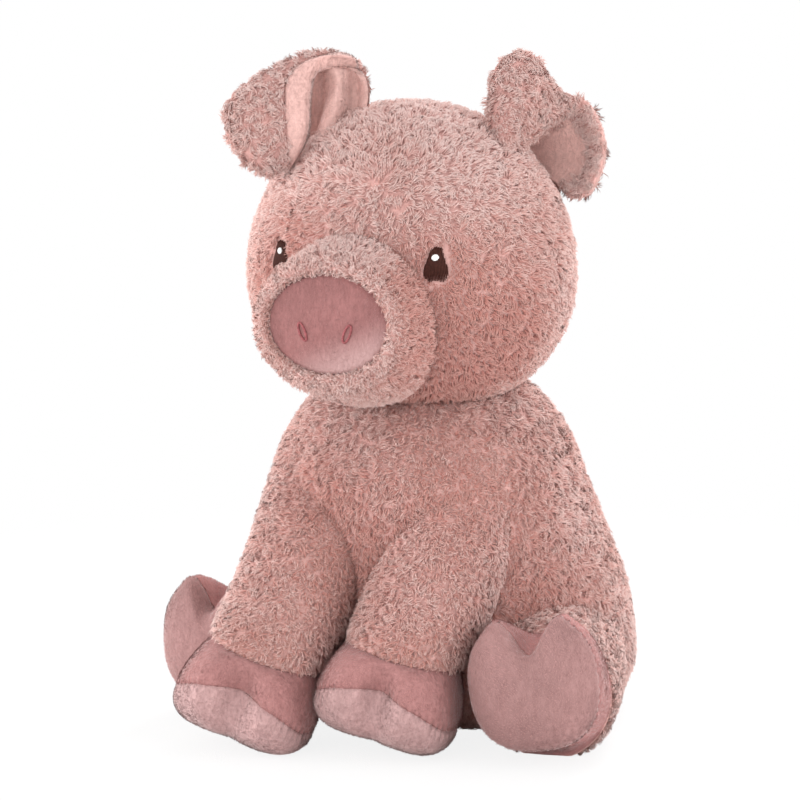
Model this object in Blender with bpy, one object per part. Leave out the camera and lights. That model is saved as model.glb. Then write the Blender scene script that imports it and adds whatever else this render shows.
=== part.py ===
"""A sitting plush pig: pile covers and smooth short-pile hooves, snout and ear linings over stuffing.

The pig faces -Y, its own left is +X, and Z = 0 is the surface that it sits on, under the neck.
All lengths are metres.
"""
import math

import bmesh
import bpy
from mathutils import Matrix, Vector

# Fabrics and fits
pile_wall = 0.0040  # long-pile fabric, backing and pile together
velboa_wall = 0.0018  # smooth short-pile fabric
thread_height = 0.0009  # how far filled embroidery stands proud
fit_gap = 0.0003  # between neighbours that are sewn together
swing_gap = 0.0006  # between neighbours that slide on each other
filling_gap = 0.0012  # the filling stays off the facets of its cover
head_filling_gap = 0.0025
floor_press = 0.0005  # how deep the soft forms are pressed flat by what they stand on
overrun = 0.0200  # how far a cutter passes what it cuts

# Head
head_width = 0.1152
head_depth = 0.1000
head_height = 0.1064
head_centre = Vector((0.0, -0.0220, 0.1703))
head_fullness = 2.20  # 2 is an ellipse, more is squarer
cheek_share = 0.10  # how much wider the head is at the cheeks than at the brow

# Muzzle and snout
muzzle_drop = 0.0175  # snout centre below head centre
muzzle_reach = 0.0690  # front of the muzzle ahead of the head centre
muzzle_root_width = 0.0535
muzzle_root_height = 0.0600
muzzle_root_reach = 0.0300  # where the muzzle starts, inside the head
snout_width = 0.0450
snout_height = 0.0342
snout_roll = 0.0045  # pile roll around the snout disc
snout_inset = 0.0030  # seam of the disc behind the roll
snout_dome = 0.0022  # how far the disc bulges forward
nostril_length = 0.0064
nostril_width = 0.0022
nostril_spacing = 0.0168
nostril_drop = 0.0026
nostril_lean = math.radians(22)

# Eyes
eye_width = 0.0080
eye_height = 0.0122
eye_spacing = 0.0592
eye_rise = 0.0020  # above the head centre
eye_foot_share = 0.30  # how much wider an eye is at its foot than at its top
glint_width = 0.0024
glint_rise = 0.0024

# Ears
ear_span = 0.0450
ear_wall = 0.0022
ear_lining_wall = 0.0012
ear_table_turn = math.radians(25)  # the ear tables are measured along axes turned this far
ear_margin_share = 0.30  # how far in the lining ends, as a share of the outer ear's last step
ear_swing = math.radians(12)

# Torso
torso_height = 0.1360
torso_width = 0.1340
torso_depth = 0.1260
torso_seat_y = 0.0215  # centre of the seat
neck_dome_radius = 0.0562
neck_dome_centre = Vector((0.0, -0.0075, 0.0780))
neck_opening_width = 0.0320

# Front legs, each limp in its own way
shoulder_radius = 0.0220
foreleg_radius = 0.0210
wrist_radius = 0.0195
front_left_shoulder = Vector((0.0240, -0.0290, 0.0900))
front_left_elbow = Vector((0.0220, -0.0470, 0.0600))
front_left_hoof = Vector((0.0134, -0.0655, 0.0022))  # the last length is its height off the floor
front_left_heading = math.radians(8)  # from straight ahead towards the pig's left
front_left_roll = math.radians(14)  # the pig's right edge of the hoof lifted
front_right_shoulder = Vector((-0.0260, -0.0290, 0.0900))
front_right_elbow = Vector((-0.0260, -0.0540, 0.0600))
front_right_hoof = Vector((-0.0347, -0.0785, 0.0))
front_right_heading = math.radians(11)
front_right_roll = math.radians(19)
front_hoof_tilt = math.radians(4)  # toes up

# Hind legs, lying on the floor with their toes up
thigh_radius = 0.0260
ankle_radius = 0.0220
hind_left_hip = Vector((0.0415, 0.0060, thigh_radius - floor_press))
hind_left_hoof = Vector((0.0650, -0.0620, 0.0))
hind_left_heading = math.radians(10)
hind_left_roll = math.radians(-8)  # toes fallen to the pig's right
hind_right_hip = Vector((-0.0440, 0.0040, thigh_radius - floor_press))
hind_right_hoof = Vector((-0.0662, -0.0446, 0.0))
hind_right_heading = math.radians(-6)
hind_right_roll = math.radians(-3)
hind_hoof_tilt = math.radians(4)
hip_seam_y = 0.0185  # how far back the seam between a hind leg and the torso reaches

# Hooves
front_hoof_width = 0.0505
hind_hoof_width = 0.0465
front_hoof_length = 0.0530
hind_hoof_length = 0.0475
front_hoof_height = 0.0110  # from the seam to the pile edge
hind_hoof_height = 0.0180
front_sole_depth = 0.0200  # how far the stuffed sole bulges
hind_sole_depth = 0.0110
front_seam_sag = 0.0090  # how far the seam sinks at both sides of a front hoof
front_toe_notch = 0.0045
hind_toe_notch = 0.0095
toe_notch_turn = math.radians(15)
hoof_squareness = 2.40
front_ankle_setback = 0.0040  # leg centre behind the hoof centre
hind_ankle_setback = 0.0070

# Tail
tail_radius = 0.0042
tail_standoff = 0.0011  # the cord starts in the pile, off the cloth behind it
tail_curl_radius = 0.0085
tail_rise = 0.0480
tail_pitch = 0.0110
tail_turns_share = 1.15
tail_lead_share = 0.80  # curl centre behind the root, in curl radii
tail_taper_share = 0.35

# Facets
ring_points = 24
limb_points = 20
filling_points = 12
trim_points = 14

# Colours
pile_pink = (0.62, 0.345, 0.315)
velboa_rose = (0.50, 0.255, 0.245)
snout_rose = (0.46, 0.205, 0.20)
lining_pink = (0.64, 0.37, 0.335)
stuffing_white = (0.86, 0.86, 0.84)
eye_brown = (0.045, 0.016, 0.012)
glint_white = (0.90, 0.90, 0.88)
nostril_rose = (0.33, 0.115, 0.12)

side_axis = Vector((1.0, 0.0, 0.0))
back_axis = Vector((0.0, 1.0, 0.0))
up_axis = Vector((0.0, 0.0, 1.0))

# Share of the torso height, then of its half width and half depth, below the neck dome
torso_profile_shares = (
    (0.000, 0.62, 0.62),
    (0.022, 0.80, 0.80),
    (0.070, 0.92, 0.92),
    (0.150, 0.985, 0.985),
    (0.250, 1.000, 1.000),
    (0.360, 0.985, 0.985),
    (0.470, 0.928, 0.945),
    (0.580, 0.864, 0.915),
    (0.680, 0.806, 0.880),
)
# Share of the muzzle's length from root to roll, then how far its section has closed on the snout
muzzle_profile_shares = ((0.0, 0.0), (0.25, 0.08), (0.47, 0.26), (0.66, 0.50), (0.82, 0.76), (0.94, 0.94))
# Rows from root to tip of each ear: inner edge, middle and outer edge, as shares of the ear span
ear_right_rows_shares = (
    ((-0.36, 0.02, 1.04), (-0.68, 0.10, 0.88), (-0.96, 0.16, 0.70)),
    ((-0.33, -0.06, 1.31), (-0.62, -0.06, 1.29), (-0.90, 0.04, 1.12)),
    ((-0.43, -0.02, 1.48), (-0.70, 0.03, 1.58), (-0.97, 0.11, 1.45)),
    ((-0.76, 0.20, 1.44), (-1.09, 0.25, 1.38), (-1.39, 0.24, 1.24)),
    ((-0.82, 0.36, 0.98), (-1.15, 0.40, 1.00), (-1.43, 0.34, 0.98)),
    ((-0.94, 0.34, 0.74), (-1.12, 0.36, 0.66), (-1.27, 0.34, 0.78)),
)
ear_left_rows_shares = (
    ((0.86, 0.26, 0.84), (0.74, 0.44, 0.84), (0.62, 0.40, 0.82)),
    ((0.86, 0.24, 0.88), (0.74, 0.42, 1.00), (0.61, 0.30, 1.10)),
    ((0.89, 0.20, 0.92), (0.83, 0.36, 1.18), (0.66, 0.18, 1.48)),
    ((0.94, 0.10, 0.96), (0.94, 0.24, 1.24), (0.88, 0.06, 1.59)),
    ((0.98, -0.08, 0.98), (1.10, 0.02, 1.14), (1.13, -0.06, 1.31)),
    ((0.95, -0.22, 0.94), (1.23, -0.12, 1.08), (1.40, -0.02, 1.19)),
    ((0.94, -0.30, 0.83), (1.29, -0.18, 0.86), (1.52, 0.06, 0.85)),
    ((0.99, -0.28, 0.71), (1.26, -0.12, 0.66), (1.41, 0.12, 0.52)),
    ((1.04, -0.18, 0.59), (1.16, -0.06, 0.54), (1.25, 0.06, 0.47)),
)


def clear_scene():
    for thing in list(bpy.data.objects):
        bpy.data.objects.remove(thing, do_unlink=True)


def cloth_material(name, colour, roughness=0.9):
    material = bpy.data.materials.new(name)
    material.use_nodes = True
    shader = material.node_tree.nodes["Principled BSDF"]
    shader.inputs["Base Color"].default_value = (*colour, 1.0)
    shader.inputs["Roughness"].default_value = roughness
    shader.inputs["Metallic"].default_value = 0.0
    return material


def joint_empty(name, place):
    empty = bpy.data.objects.new(name, None)
    empty.empty_display_size = fit_gap + pile_wall
    empty.location = place
    bpy.context.collection.objects.link(empty)
    return empty


def add_piece(name, bm, material=None, carrier=None):
    """Turn a closed surface drawn in world places into an object that hangs on its carrier."""
    bmesh.ops.recalc_face_normals(bm, faces=bm.faces)
    mesh = bpy.data.meshes.new(name)
    bm.to_mesh(mesh)
    bm.free()
    mesh.shade_smooth()
    mesh.set_sharp_from_angle(angle=math.radians(50))
    piece = bpy.data.objects.new(name, mesh)
    bpy.context.collection.objects.link(piece)
    if material is None:
        piece.hide_render = True
        piece.display_type = "WIRE"
    else:
        mesh.materials.append(material)
    if carrier is not None:
        mesh.transform(Matrix.Translation(-carrier.location))
        piece.parent = carrier
    return piece


def cut_away(piece, *cutters):
    for cutter in cutters:
        cut = piece.modifiers.new("Cut by " + cutter.name, "BOOLEAN")
        cut.operation = "DIFFERENCE"
        cut.solver = "EXACT"
        cut.object = cutter


def add_rings(bm, rings):
    """Join rings of points, or single end points, into one run of faces and return its vertices."""
    rows = []
    for row in rings:
        points = [row] if isinstance(row, Vector) else row
        rows.append([bm.verts.new(point) for point in points])
    for near, far in zip(rows, rows[1:]):
        join_rows(bm, near, far)
    return rows


def join_rows(bm, near, far):
    count = max(len(near), len(far))
    for i in range(count):
        j = (i + 1) % count
        if len(near) == 1:
            bm.faces.new((near[0], far[i], far[j]))
        elif len(far) == 1:
            bm.faces.new((near[i], near[j], far[0]))
        else:
            bm.faces.new((near[i], near[j], far[j], far[i]))


def solid_surface(rings):
    bm = bmesh.new()
    add_rings(bm, rings)
    return bm


def shell_surface(outer, inner):
    """A wall between two runs of rings; where a run ends in a point the shell is closed there."""
    bm = bmesh.new()
    outside = add_rings(bm, outer)
    inside = add_rings(bm, inner)
    for end in (0, -1):
        if len(outside[end]) > 1:
            join_rows(bm, outside[end], inside[end])
    return bm


def signed_power(value, power):
    return math.copysign(abs(value) ** power, value)


def ring(centre, across, along, half_across, half_along, count, squareness=2.0):
    points = []
    for i in range(count):
        turn = 2 * math.pi * i / count
        side = half_across * signed_power(math.cos(turn), 2 / squareness)
        rise = half_along * signed_power(math.sin(turn), 2 / squareness)
        points.append(centre + across * side + along * rise)
    return points


def smooth_between(before, start, end, after, share):
    """Catmull-Rom curve between start and end."""
    square = share * share
    cube = square * share
    return (
        start * 2
        + (end - before) * share
        + (before * 2 - start * 5 + end * 4 - after) * square
        + (start * 3 - before - end * 3 + after) * cube
    ) * 0.5


def smooth_run(points, steps):
    """Points on a smooth curve through the given ones, with so many steps between each two."""
    run = []
    for k in range(len(points) - 1):
        before = points[max(k - 1, 0)]
        after = points[min(k + 2, len(points) - 1)]
        for step in range(steps):
            run.append(smooth_between(before, points[k], points[k + 1], after, step / steps))
    run.append(points[-1].copy())
    return run


def head_rings(grow=0.0, count=ring_points, levels=14):
    """The head form: a full ellipsoid, wider at the cheeks than at the brow."""
    half_height = head_height / 2 + grow
    rings = [head_centre - up_axis * half_height]
    for k in range(1, levels):
        polar = math.pi * k / levels
        rise = -math.cos(polar)
        girth = math.sin(polar) ** (2 / head_fullness)
        width = (head_width / 2 + grow) * girth * (1 - cheek_share * rise)
        depth = (head_depth / 2 + grow) * girth
        level = head_centre + up_axis * (half_height * rise)
        rings.append(ring(level, side_axis, back_axis, width, depth, count))
    rings.append(head_centre + up_axis * half_height)
    return rings


def head_front(across, rise, grow):
    """The point of the head's front at so far across and above its centre."""
    level_share = rise / (head_height / 2)
    girth = (1 - level_share * level_share) ** (1 / head_fullness)
    width = (head_width / 2 + grow) * girth * (1 - cheek_share * level_share)
    depth = (head_depth / 2 + grow) * girth
    ahead = depth * math.sqrt(1 - (across / width) ** 2)
    return head_centre + side_axis * across - back_axis * ahead + up_axis * rise


def muzzle_axis_point(reach):
    return head_centre - back_axis * reach - up_axis * muzzle_drop


def snout_ring(margin, reach, share=1.0, count=ring_points):
    half_width = (snout_width / 2 + margin) * share
    half_height = (snout_height / 2 + margin) * share
    return ring(muzzle_axis_point(reach), side_axis, up_axis, half_width, half_height, count)


def muzzle_rings(inset=0.0, count=ring_points):
    """The muzzle from inside the head to the front of the pile roll around the snout."""
    rings = []
    run = muzzle_reach - inset - muzzle_root_reach
    for along_share, closed_share in muzzle_profile_shares:
        width = muzzle_root_width + (snout_width + 2 * snout_roll - muzzle_root_width) * closed_share
        height = muzzle_root_height + (snout_height + 2 * snout_roll - muzzle_root_height) * closed_share
        centre = muzzle_axis_point(muzzle_root_reach + run * along_share)
        rings.append(ring(centre, side_axis, up_axis, width / 2 - inset, height / 2 - inset, count))
    return rings


def muzzle_plug(inset, count=ring_points):
    """What fills the muzzle, from inside the head to behind the snout disc."""
    back = muzzle_axis_point(muzzle_root_reach - inset)
    front = muzzle_reach - snout_inset - inset
    rings = muzzle_rings(inset, count)[:-1]
    return [back] + rings + [snout_ring(-inset, front, count=count), muzzle_axis_point(front)]


def torso_ring(height, half_width, half_depth, centre_y):
    centre = Vector((0.0, centre_y, height))
    return ring(centre, side_axis, back_axis, half_width, half_depth, ring_points)


def torso_axis_y(height_share):
    """How far back the torso's middle lies: over the seat below, under the neck dome above."""
    lean = min(height_share / torso_profile_shares[-1][0], 1.0)
    return torso_seat_y + (neck_dome_centre.y - torso_seat_y) * lean


def torso_rings(inset=0.0, opening=0.0, floor=0.0):
    """The torso form from the flat seat to the top of the neck dome."""
    rings = [Vector((0.0, torso_seat_y, floor))]
    join_share = torso_profile_shares[-1][0]
    for height_share, width_share, depth_share in torso_profile_shares:
        centre_y = torso_axis_y(height_share)
        height = max(height_share * torso_height, floor)
        width = width_share * torso_width / 2 - inset
        depth = depth_share * torso_depth / 2 - inset
        rings.append(torso_ring(height, width, depth, centre_y))
    dome = neck_dome_radius - inset
    start = math.asin((torso_height * join_share - neck_dome_centre.z) / dome)
    end = math.acos(opening / dome)
    steps = 7
    for k in range(steps + 1):
        polar = start + (end - start) * (k + 1) / (steps + 1)
        height = neck_dome_centre.z + dome * math.sin(polar)
        radius = dome * math.cos(polar)
        if k == steps and opening == 0.0:
            rings.append(Vector((0.0, neck_dome_centre.y, height)))
        else:
            rings.append(torso_ring(height, radius, radius, neck_dome_centre.y))
    return rings


def limb_ring(side, toes, centre, half_width, half_length, notch=0.0, squareness=2.0, count=limb_points):
    """One ring of a limb, starting at its toe side, with a notch between the toes if it has one."""
    points = []
    for i in range(count):
        turn = 2 * math.pi * i / count
        across = half_width * signed_power(math.sin(turn), 2 / squareness)
        ahead = half_length * signed_power(math.cos(turn), 2 / squareness)
        off_centre = math.remainder(turn, 2 * math.pi) / toe_notch_turn
        ahead -= notch * math.exp(-off_centre * off_centre)
        points.append(centre + side * across + toes * ahead)
    return points


def hoof_directions(pitch, heading, roll):
    """Side, toe and sole directions of a hoof: toes raised by the pitch, then leant, then aimed."""
    leant = Matrix.Rotation(roll, 3, "Y") @ Matrix.Rotation(-pitch, 3, "X")
    turn = Matrix.Rotation(heading, 3, "Z") @ leant
    return turn @ side_axis, turn @ -back_axis, turn @ -up_axis


def hoof_ring(limb, sink, girth, inset, count):
    side, toes, sole = limb["directions"]
    half_width = (limb["width"] / 2 - inset) * girth
    half_length = (limb["length"] / 2 - inset) * girth
    centre = limb["hoof"] + sole * sink
    notch = limb["notch"] * girth
    points = limb_ring(side, toes, centre, half_width, half_length, notch, hoof_squareness, count)
    sag = limb["sag"] * girth * girth
    return [
        point + sole * (sag * math.sin(2 * math.pi * i / count) ** 2)
        for i, point in enumerate(points)
    ]


def sole_rings(limb, inset=0.0, count=limb_points, steps=3):
    """From the seam round the toes down to the middle of the stuffed sole."""
    rings = []
    depth = limb["sole_depth"] - inset
    for k in range(steps):
        turn = math.pi / 2 * k / steps
        rings.append(hoof_ring(limb, depth * math.sin(turn), math.cos(turn) ** 0.8, inset, count))
    rings.append(limb["hoof"] + limb["directions"][2] * depth)
    return rings


def ankle_centre(limb):
    side, toes, sole = limb["directions"]
    return limb["hoof"] - sole * limb["height"] - toes * limb["setback"]


def hoof_rings(limb, inset=0.0, count=limb_points, steps=3):
    """From the edge of the leg's pile down to the seam round the toes."""
    side, toes, sole = limb["directions"]
    radius = limb["ankle_radius"] - inset
    rim = limb_ring(side, toes, ankle_centre(limb), radius, radius, count=count)
    outline = hoof_ring(limb, 0.0, 1.0, inset, count)
    rings = []
    for k in range(steps + 1):
        turn = math.pi / 2 * (steps - k) / steps
        closed = 1 - math.cos(turn)
        lift = sole * (limb["height"] * (closed - math.sin(turn)))
        rings.append([edge.lerp(top, closed) + lift for edge, top in zip(outline, rim)])
    return rings


def leg_rings(limb, inset=0.0, count=limb_points, ankle_margin=0.0):
    """From the domed root of a leg, inside the torso, down to the edge of its pile."""
    side, toes, sole = limb["directions"]
    start, middle = limb["root"], limb["bend"]
    end = ankle_centre(limb) - sole * ankle_margin
    path = smooth_run([start, middle, end], 3)
    first = (middle - start).normalized()
    radii = smooth_run([Vector((r, 0, 0)) for r in limb["radii"]], 3)
    root_radius = radii[0].x - inset
    rings = [start - first * root_radius]
    for turn in (math.radians(58), math.radians(28)):
        rings.append(aimed_ring(start - first * (root_radius * math.sin(turn)), first, side,
                                root_radius * math.cos(turn), count))
    for k, (centre, radius) in enumerate(zip(path, radii)):
        ahead = path[min(k + 1, len(path) - 1)] - path[max(k - 1, 0)]
        share = k / (len(path) - 1)
        aim = ahead.normalized().lerp(sole, share * share).normalized()
        rings.append(aimed_ring(centre, aim, side, radius.x - inset, count))
    return rings


def aimed_ring(centre, aim, side, radius, count):
    """A round ring square to aim, starting at its toe side like the hoof's rings."""
    level = (side - aim * side.dot(aim)).normalized()
    toes = aim.cross(level)
    return limb_ring(level, toes, centre, radius, radius, count=count)


def pressed(rings, lowest=0.0):
    """Flatten whatever lies lower than the surface that the toy sits on."""
    for row in rings:
        for point in [row] if isinstance(row, Vector) else row:
            point.z = max(point.z, lowest)
    return rings


def lowest_point(rings):
    return min(point.z for row in rings for point in ([row] if isinstance(row, Vector) else row))


def seated(limb):
    """Bring a limb's hoof to its height off the floor, pressed flat by floor_press at no height."""
    low = lowest_point(sole_rings(limb) + hoof_rings(limb))
    limb["hoof"].z += limb["hoof"].z - low - floor_press
    return limb


def front_leg(shoulder, elbow, hoof, heading, roll):
    """One front leg from its shoulder to its hoof, whose sole faces down."""
    return seated({
        "root": shoulder,
        "bend": elbow,
        "hoof": hoof.copy(),
        "width": front_hoof_width,
        "length": front_hoof_length,
        "height": front_hoof_height,
        "setback": front_ankle_setback,
        "sole_depth": front_sole_depth,
        "sag": front_seam_sag,
        "notch": front_toe_notch,
        "directions": hoof_directions(front_hoof_tilt, heading, roll),
        "radii": (shoulder_radius, foreleg_radius, wrist_radius),
        "ankle_radius": wrist_radius,
        "hinge": dome_front(shoulder.x, shoulder.z + shoulder_radius * 0.8),
    })


def hind_leg(hip, hoof, heading, roll):
    """One hind leg from its hip to its hoof, whose sole faces ahead."""
    limb = seated({
        "root": hip,
        "hoof": hoof.copy(),
        "width": hind_hoof_width,
        "length": hind_hoof_length,
        "height": hind_hoof_height,
        "setback": hind_ankle_setback,
        "sole_depth": hind_sole_depth,
        "sag": 0.0,
        "notch": hind_toe_notch,
        "directions": hoof_directions(math.pi / 2 + hind_hoof_tilt, heading, roll),
        "radii": (thigh_radius, thigh_radius * 0.96, ankle_radius),
        "ankle_radius": ankle_radius,
        "hinge": torso_side(math.copysign(1.0, hip.x), hip_seam_y, thigh_radius),
    })
    limb["bend"] = hip.lerp(ankle_centre(limb), 0.55)
    return limb


def build_leg(name, limb, torso_cutter, pile, velboa, filling):
    carrier = joint_empty(name + "_hinge", limb["hinge"])
    outer = pressed(leg_rings(limb, ankle_margin=fit_gap))
    inner = pressed(leg_rings(limb, pile_wall, ankle_margin=fit_gap), pile_wall)
    cover = add_piece(name + "_cover", shell_surface(outer, inner), pile, carrier)
    outer = pressed(hoof_rings(limb))
    inner = pressed(hoof_rings(limb, velboa_wall), velboa_wall)
    hoof = add_piece(name + "_hoof", shell_surface(outer, inner), velboa, carrier)
    below = {**limb, "hoof": limb["hoof"] + limb["directions"][2] * fit_gap}
    outer = pressed(sole_rings(below))
    inner = pressed(sole_rings(below, velboa_wall), velboa_wall)
    sole = add_piece(name + "_sole", shell_surface(outer, inner), velboa, carrier)
    leg_inset = pile_wall + filling_gap
    hoof_inset = velboa_wall + filling_gap
    run = leg_rings(limb, leg_inset, filling_points)
    run += hoof_rings(limb, leg_inset, filling_points)[1:]
    run += sole_rings(limb, hoof_inset, filling_points)[1:]
    stuffing = add_piece(name + "_stuffing", solid_surface(pressed(run, leg_inset)), filling, carrier)
    for piece in (cover, hoof, sole, stuffing):
        cut_away(piece, torso_cutter)
    return [cover, hoof, sole, stuffing]


def table_point(shares):
    """A point of an ear table: right of the view, towards it and up, from the head centre."""
    turn = Matrix.Rotation(ear_table_turn, 3, "Z")
    right, near, rise = (share * ear_span for share in shares)
    return head_centre + turn @ (side_axis * right - back_axis * near) + up_axis * rise


def ear_grid(rows_shares, along_steps, across_steps):
    rows = [[table_point(shares) for shares in row] for row in rows_shares]
    columns = [smooth_run([row[k] for row in rows], along_steps) for k in range(3)]
    return [smooth_run(list(points), across_steps) for points in zip(*columns)]


def grid_normals(grid):
    normals = []
    for j, row in enumerate(grid):
        normals.append([])
        for i, point in enumerate(row):
            along = grid[min(j + 1, len(grid) - 1)][i] - grid[max(j - 1, 0)][i]
            across = row[min(i + 1, len(row) - 1)] - row[max(i - 1, 0)]
            normals[-1].append(along.cross(across).normalized())
    return normals


def with_margins(grid):
    """Add a row short of the tip and a column short of each side, where the lining ends."""
    share = ear_margin_share
    grid = [
        [row[0], row[0].lerp(row[1], share), *row[1:-1], row[-1].lerp(row[-2], share), row[-1]]
        for row in grid
    ]
    margin = [tip.lerp(point, share) for tip, point in zip(grid[-1], grid[-2])]
    return grid[:-1] + [margin, grid[-1]]


def inner_part(grid):
    return [row[1:-1] for row in grid[:-1]]


def sheet_surface(grid, normals, low, high):
    """A sheet of cloth between two heights above a grid, with closed edges."""
    bm = bmesh.new()
    layers = []
    for height in (low, high):
        layers.append([
            [bm.verts.new(point + normal * height) for point, normal in zip(row, row_normals)]
            for row, row_normals in zip(grid, normals)
        ])
    rows, columns = len(grid), len(grid[0])
    for layer in layers:
        for j in range(rows - 1):
            for i in range(columns - 1):
                near, far = layer[j], layer[j + 1]
                bm.faces.new((near[i], near[i + 1], far[i + 1]))
                bm.faces.new((near[i], far[i + 1], far[i]))
    border = [(0, i) for i in range(columns)]
    border += [(j, columns - 1) for j in range(1, rows)]
    border += [(rows - 1, i) for i in range(columns - 2, -1, -1)]
    border += [(j, 0) for j in range(rows - 2, 0, -1)]
    for (j, i), (n, m) in zip(border, border[1:] + border[:1]):
        bm.faces.new((layers[0][j][i], layers[0][n][m], layers[1][n][m], layers[1][j][i]))
    return bm


def build_ear(name, rows_shares, along_steps, back_sign, cutters_of, pile, velboa):
    grid = with_margins(ear_grid(rows_shares, along_steps, 2))
    normals = grid_normals(grid)
    root = grid[0]
    pivot = root[len(root) // 2]
    hinge_line = (root[-1] - root[0]).normalized()
    carrier = joint_empty(name + "_hinge", pivot)
    near, back, front = back_sign * fit_gap / 2, back_sign * ear_wall, -back_sign * ear_lining_wall
    outer = sheet_surface(grid, normals, near, back)
    inner = sheet_surface(inner_part(grid), inner_part(normals), -near, front)
    pieces = [add_piece(name + "_outer", outer, pile, carrier)]
    pieces.append(add_piece(name + "_lining", inner, velboa, carrier))
    cutters = cutters_of(name, pivot, hinge_line)
    for piece in pieces:
        cut_away(piece, *cutters)


def torso_half_sizes(height_share):
    """Half the width and half the depth of the torso at a share of its height."""
    rows = torso_profile_shares
    share = min(height_share, rows[-1][0])
    at = max(k for k in range(len(rows) - 1) if rows[k][0] <= share)
    mix = (share - rows[at][0]) / (rows[at + 1][0] - rows[at][0])
    width = torso_width / 2 * (rows[at][1] + (rows[at + 1][1] - rows[at][1]) * mix)
    depth = torso_depth / 2 * (rows[at][2] + (rows[at + 1][2] - rows[at][2]) * mix)
    return width, depth


def torso_back(height):
    """The point of the torso's back at so far up, in the middle."""
    share = height / torso_height
    return Vector((0.0, torso_axis_y(share) + torso_half_sizes(share)[1], height))


def torso_side(sign, back, height):
    """The point of the torso's side at so far back and up, on the pig's left for a positive sign."""
    share = height / torso_height
    half_width, half_depth = torso_half_sizes(share)
    across = half_width * math.sqrt(1 - ((back - torso_axis_y(share)) / half_depth) ** 2)
    return Vector((sign * across, back, height))


def dome_front(across, height):
    """The point of the neck dome's front at so far across and up."""
    rise = height - neck_dome_centre.z
    ahead = math.sqrt(neck_dome_radius ** 2 - across ** 2 - rise ** 2)
    return Vector((across, neck_dome_centre.y - ahead, height))


def patch_rings(outline, place, low, high):
    """An embroidered patch: place(x, z, height) gives its points over the cloth that it lies on."""
    middle_x = sum(x for x, z in outline) / len(outline)
    middle_z = sum(z for x, z in outline) / len(outline)

    def row(share, height):
        return [place(middle_x + (x - middle_x) * share, middle_z + (z - middle_z) * share, height)
                for x, z in outline]

    edge = low + (high - low) * 0.35
    rings = [place(middle_x, middle_z, high), row(0.55, high), row(0.86, high), row(1.0, edge)]
    return rings + [row(1.0, low), row(0.55, low), place(middle_x, middle_z, low)]


def eye_outline(sign):
    points = []
    for i in range(trim_points):
        turn = 2 * math.pi * i / trim_points
        rise = signed_power(math.sin(turn), 0.85)
        across = eye_width / 2 * math.cos(turn) * (1 - eye_foot_share * math.sin(turn))
        points.append((sign * eye_spacing / 2 + across, eye_rise + eye_height / 2 * rise))
    return points


def glint_outline(sign):
    points = []
    for i in range(trim_points):
        turn = 2 * math.pi * i / trim_points
        across = sign * eye_spacing / 2 + glint_width / 2 * math.cos(turn)
        points.append((across, eye_rise + glint_rise + glint_width / 2 * math.sin(turn)))
    return points


def nostril_outline(sign):
    points = []
    lean = sign * nostril_lean
    for i in range(trim_points):
        turn = 2 * math.pi * i / trim_points
        across = nostril_width / 2 * math.cos(turn)
        rise = nostril_length / 2 * math.sin(turn)
        x = across * math.cos(lean) + rise * math.sin(lean)
        z = rise * math.cos(lean) - across * math.sin(lean)
        points.append((sign * nostril_spacing / 2 + x, z - nostril_drop))
    return points


def snout_surface(across, rise, height):
    """The point over the snout disc at so far across and above its middle."""
    out = (2 * across / snout_width) ** 2 + (2 * rise / snout_height) ** 2
    reach = muzzle_reach - snout_inset + snout_dome * (1 - out) + height
    return muzzle_axis_point(reach) + side_axis * across + up_axis * rise


def snout_disc_rings():
    edge = muzzle_reach - snout_inset
    rings = [muzzle_axis_point(edge + snout_dome)]
    for share in (0.35, 0.70, 1.0):
        rings.append(snout_ring(0.0, edge + snout_dome * (1 - share * share), share))
    for share in (1.0, 0.5):
        rings.append(snout_ring(0.0, edge - velboa_wall, share))
    return rings + [muzzle_axis_point(edge - velboa_wall)]


def build_head(carrier, torso_cutter, head_cutter, pile, velboa, snout, filling, brown, white, rose):
    cavity = add_piece("head_cavity", solid_surface(head_rings(-pile_wall, 16, 9)), None, carrier)
    passage = add_piece("muzzle_passage", solid_surface(muzzle_plug(pile_wall, 16)), None, carrier)
    cover = add_piece("head_cover", solid_surface(head_rings()), pile, carrier)
    cut_away(cover, cavity, passage, torso_cutter)
    front = muzzle_reach - snout_inset
    outer = muzzle_rings() + [snout_ring(snout_roll / 2, muzzle_reach), snout_ring(fit_gap, front)]
    inner = muzzle_rings(pile_wall) + [snout_ring(fit_gap, front - pile_wall)] * 2
    inner[-2] = snout_ring(snout_roll / 2, front - pile_wall)
    muzzle = add_piece("muzzle_cover", shell_surface(outer, inner), pile, carrier)
    cut_away(muzzle, head_cutter)
    add_piece("snout_disc", solid_surface(snout_disc_rings()), snout, carrier)
    inset = pile_wall + head_filling_gap
    form = solid_surface(head_rings(-inset, filling_points, 8))
    stuffing = add_piece("head_stuffing", form, filling, carrier)
    plug = add_piece("muzzle_plug", solid_surface(muzzle_plug(inset, filling_points)), None, carrier)
    join = stuffing.modifiers.new("Muzzle filling", "BOOLEAN")
    join.operation = "UNION"
    join.solver = "EXACT"
    join.object = plug
    cut_away(stuffing, torso_cutter)
    top = fit_gap + thread_height
    for side, sign in (("left", 1), ("right", -1)):
        eye = patch_rings(eye_outline(sign), head_front, fit_gap, top)
        add_piece("eye_" + side, solid_surface(eye), brown, carrier)
        glint = patch_rings(glint_outline(sign), head_front, top + fit_gap, top + thread_height)
        add_piece("eye_glint_" + side, solid_surface(glint), white, carrier)
        nostril = patch_rings(nostril_outline(sign), snout_surface, fit_gap, top)
        add_piece("nostril_" + side, solid_surface(nostril), rose, carrier)


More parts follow.
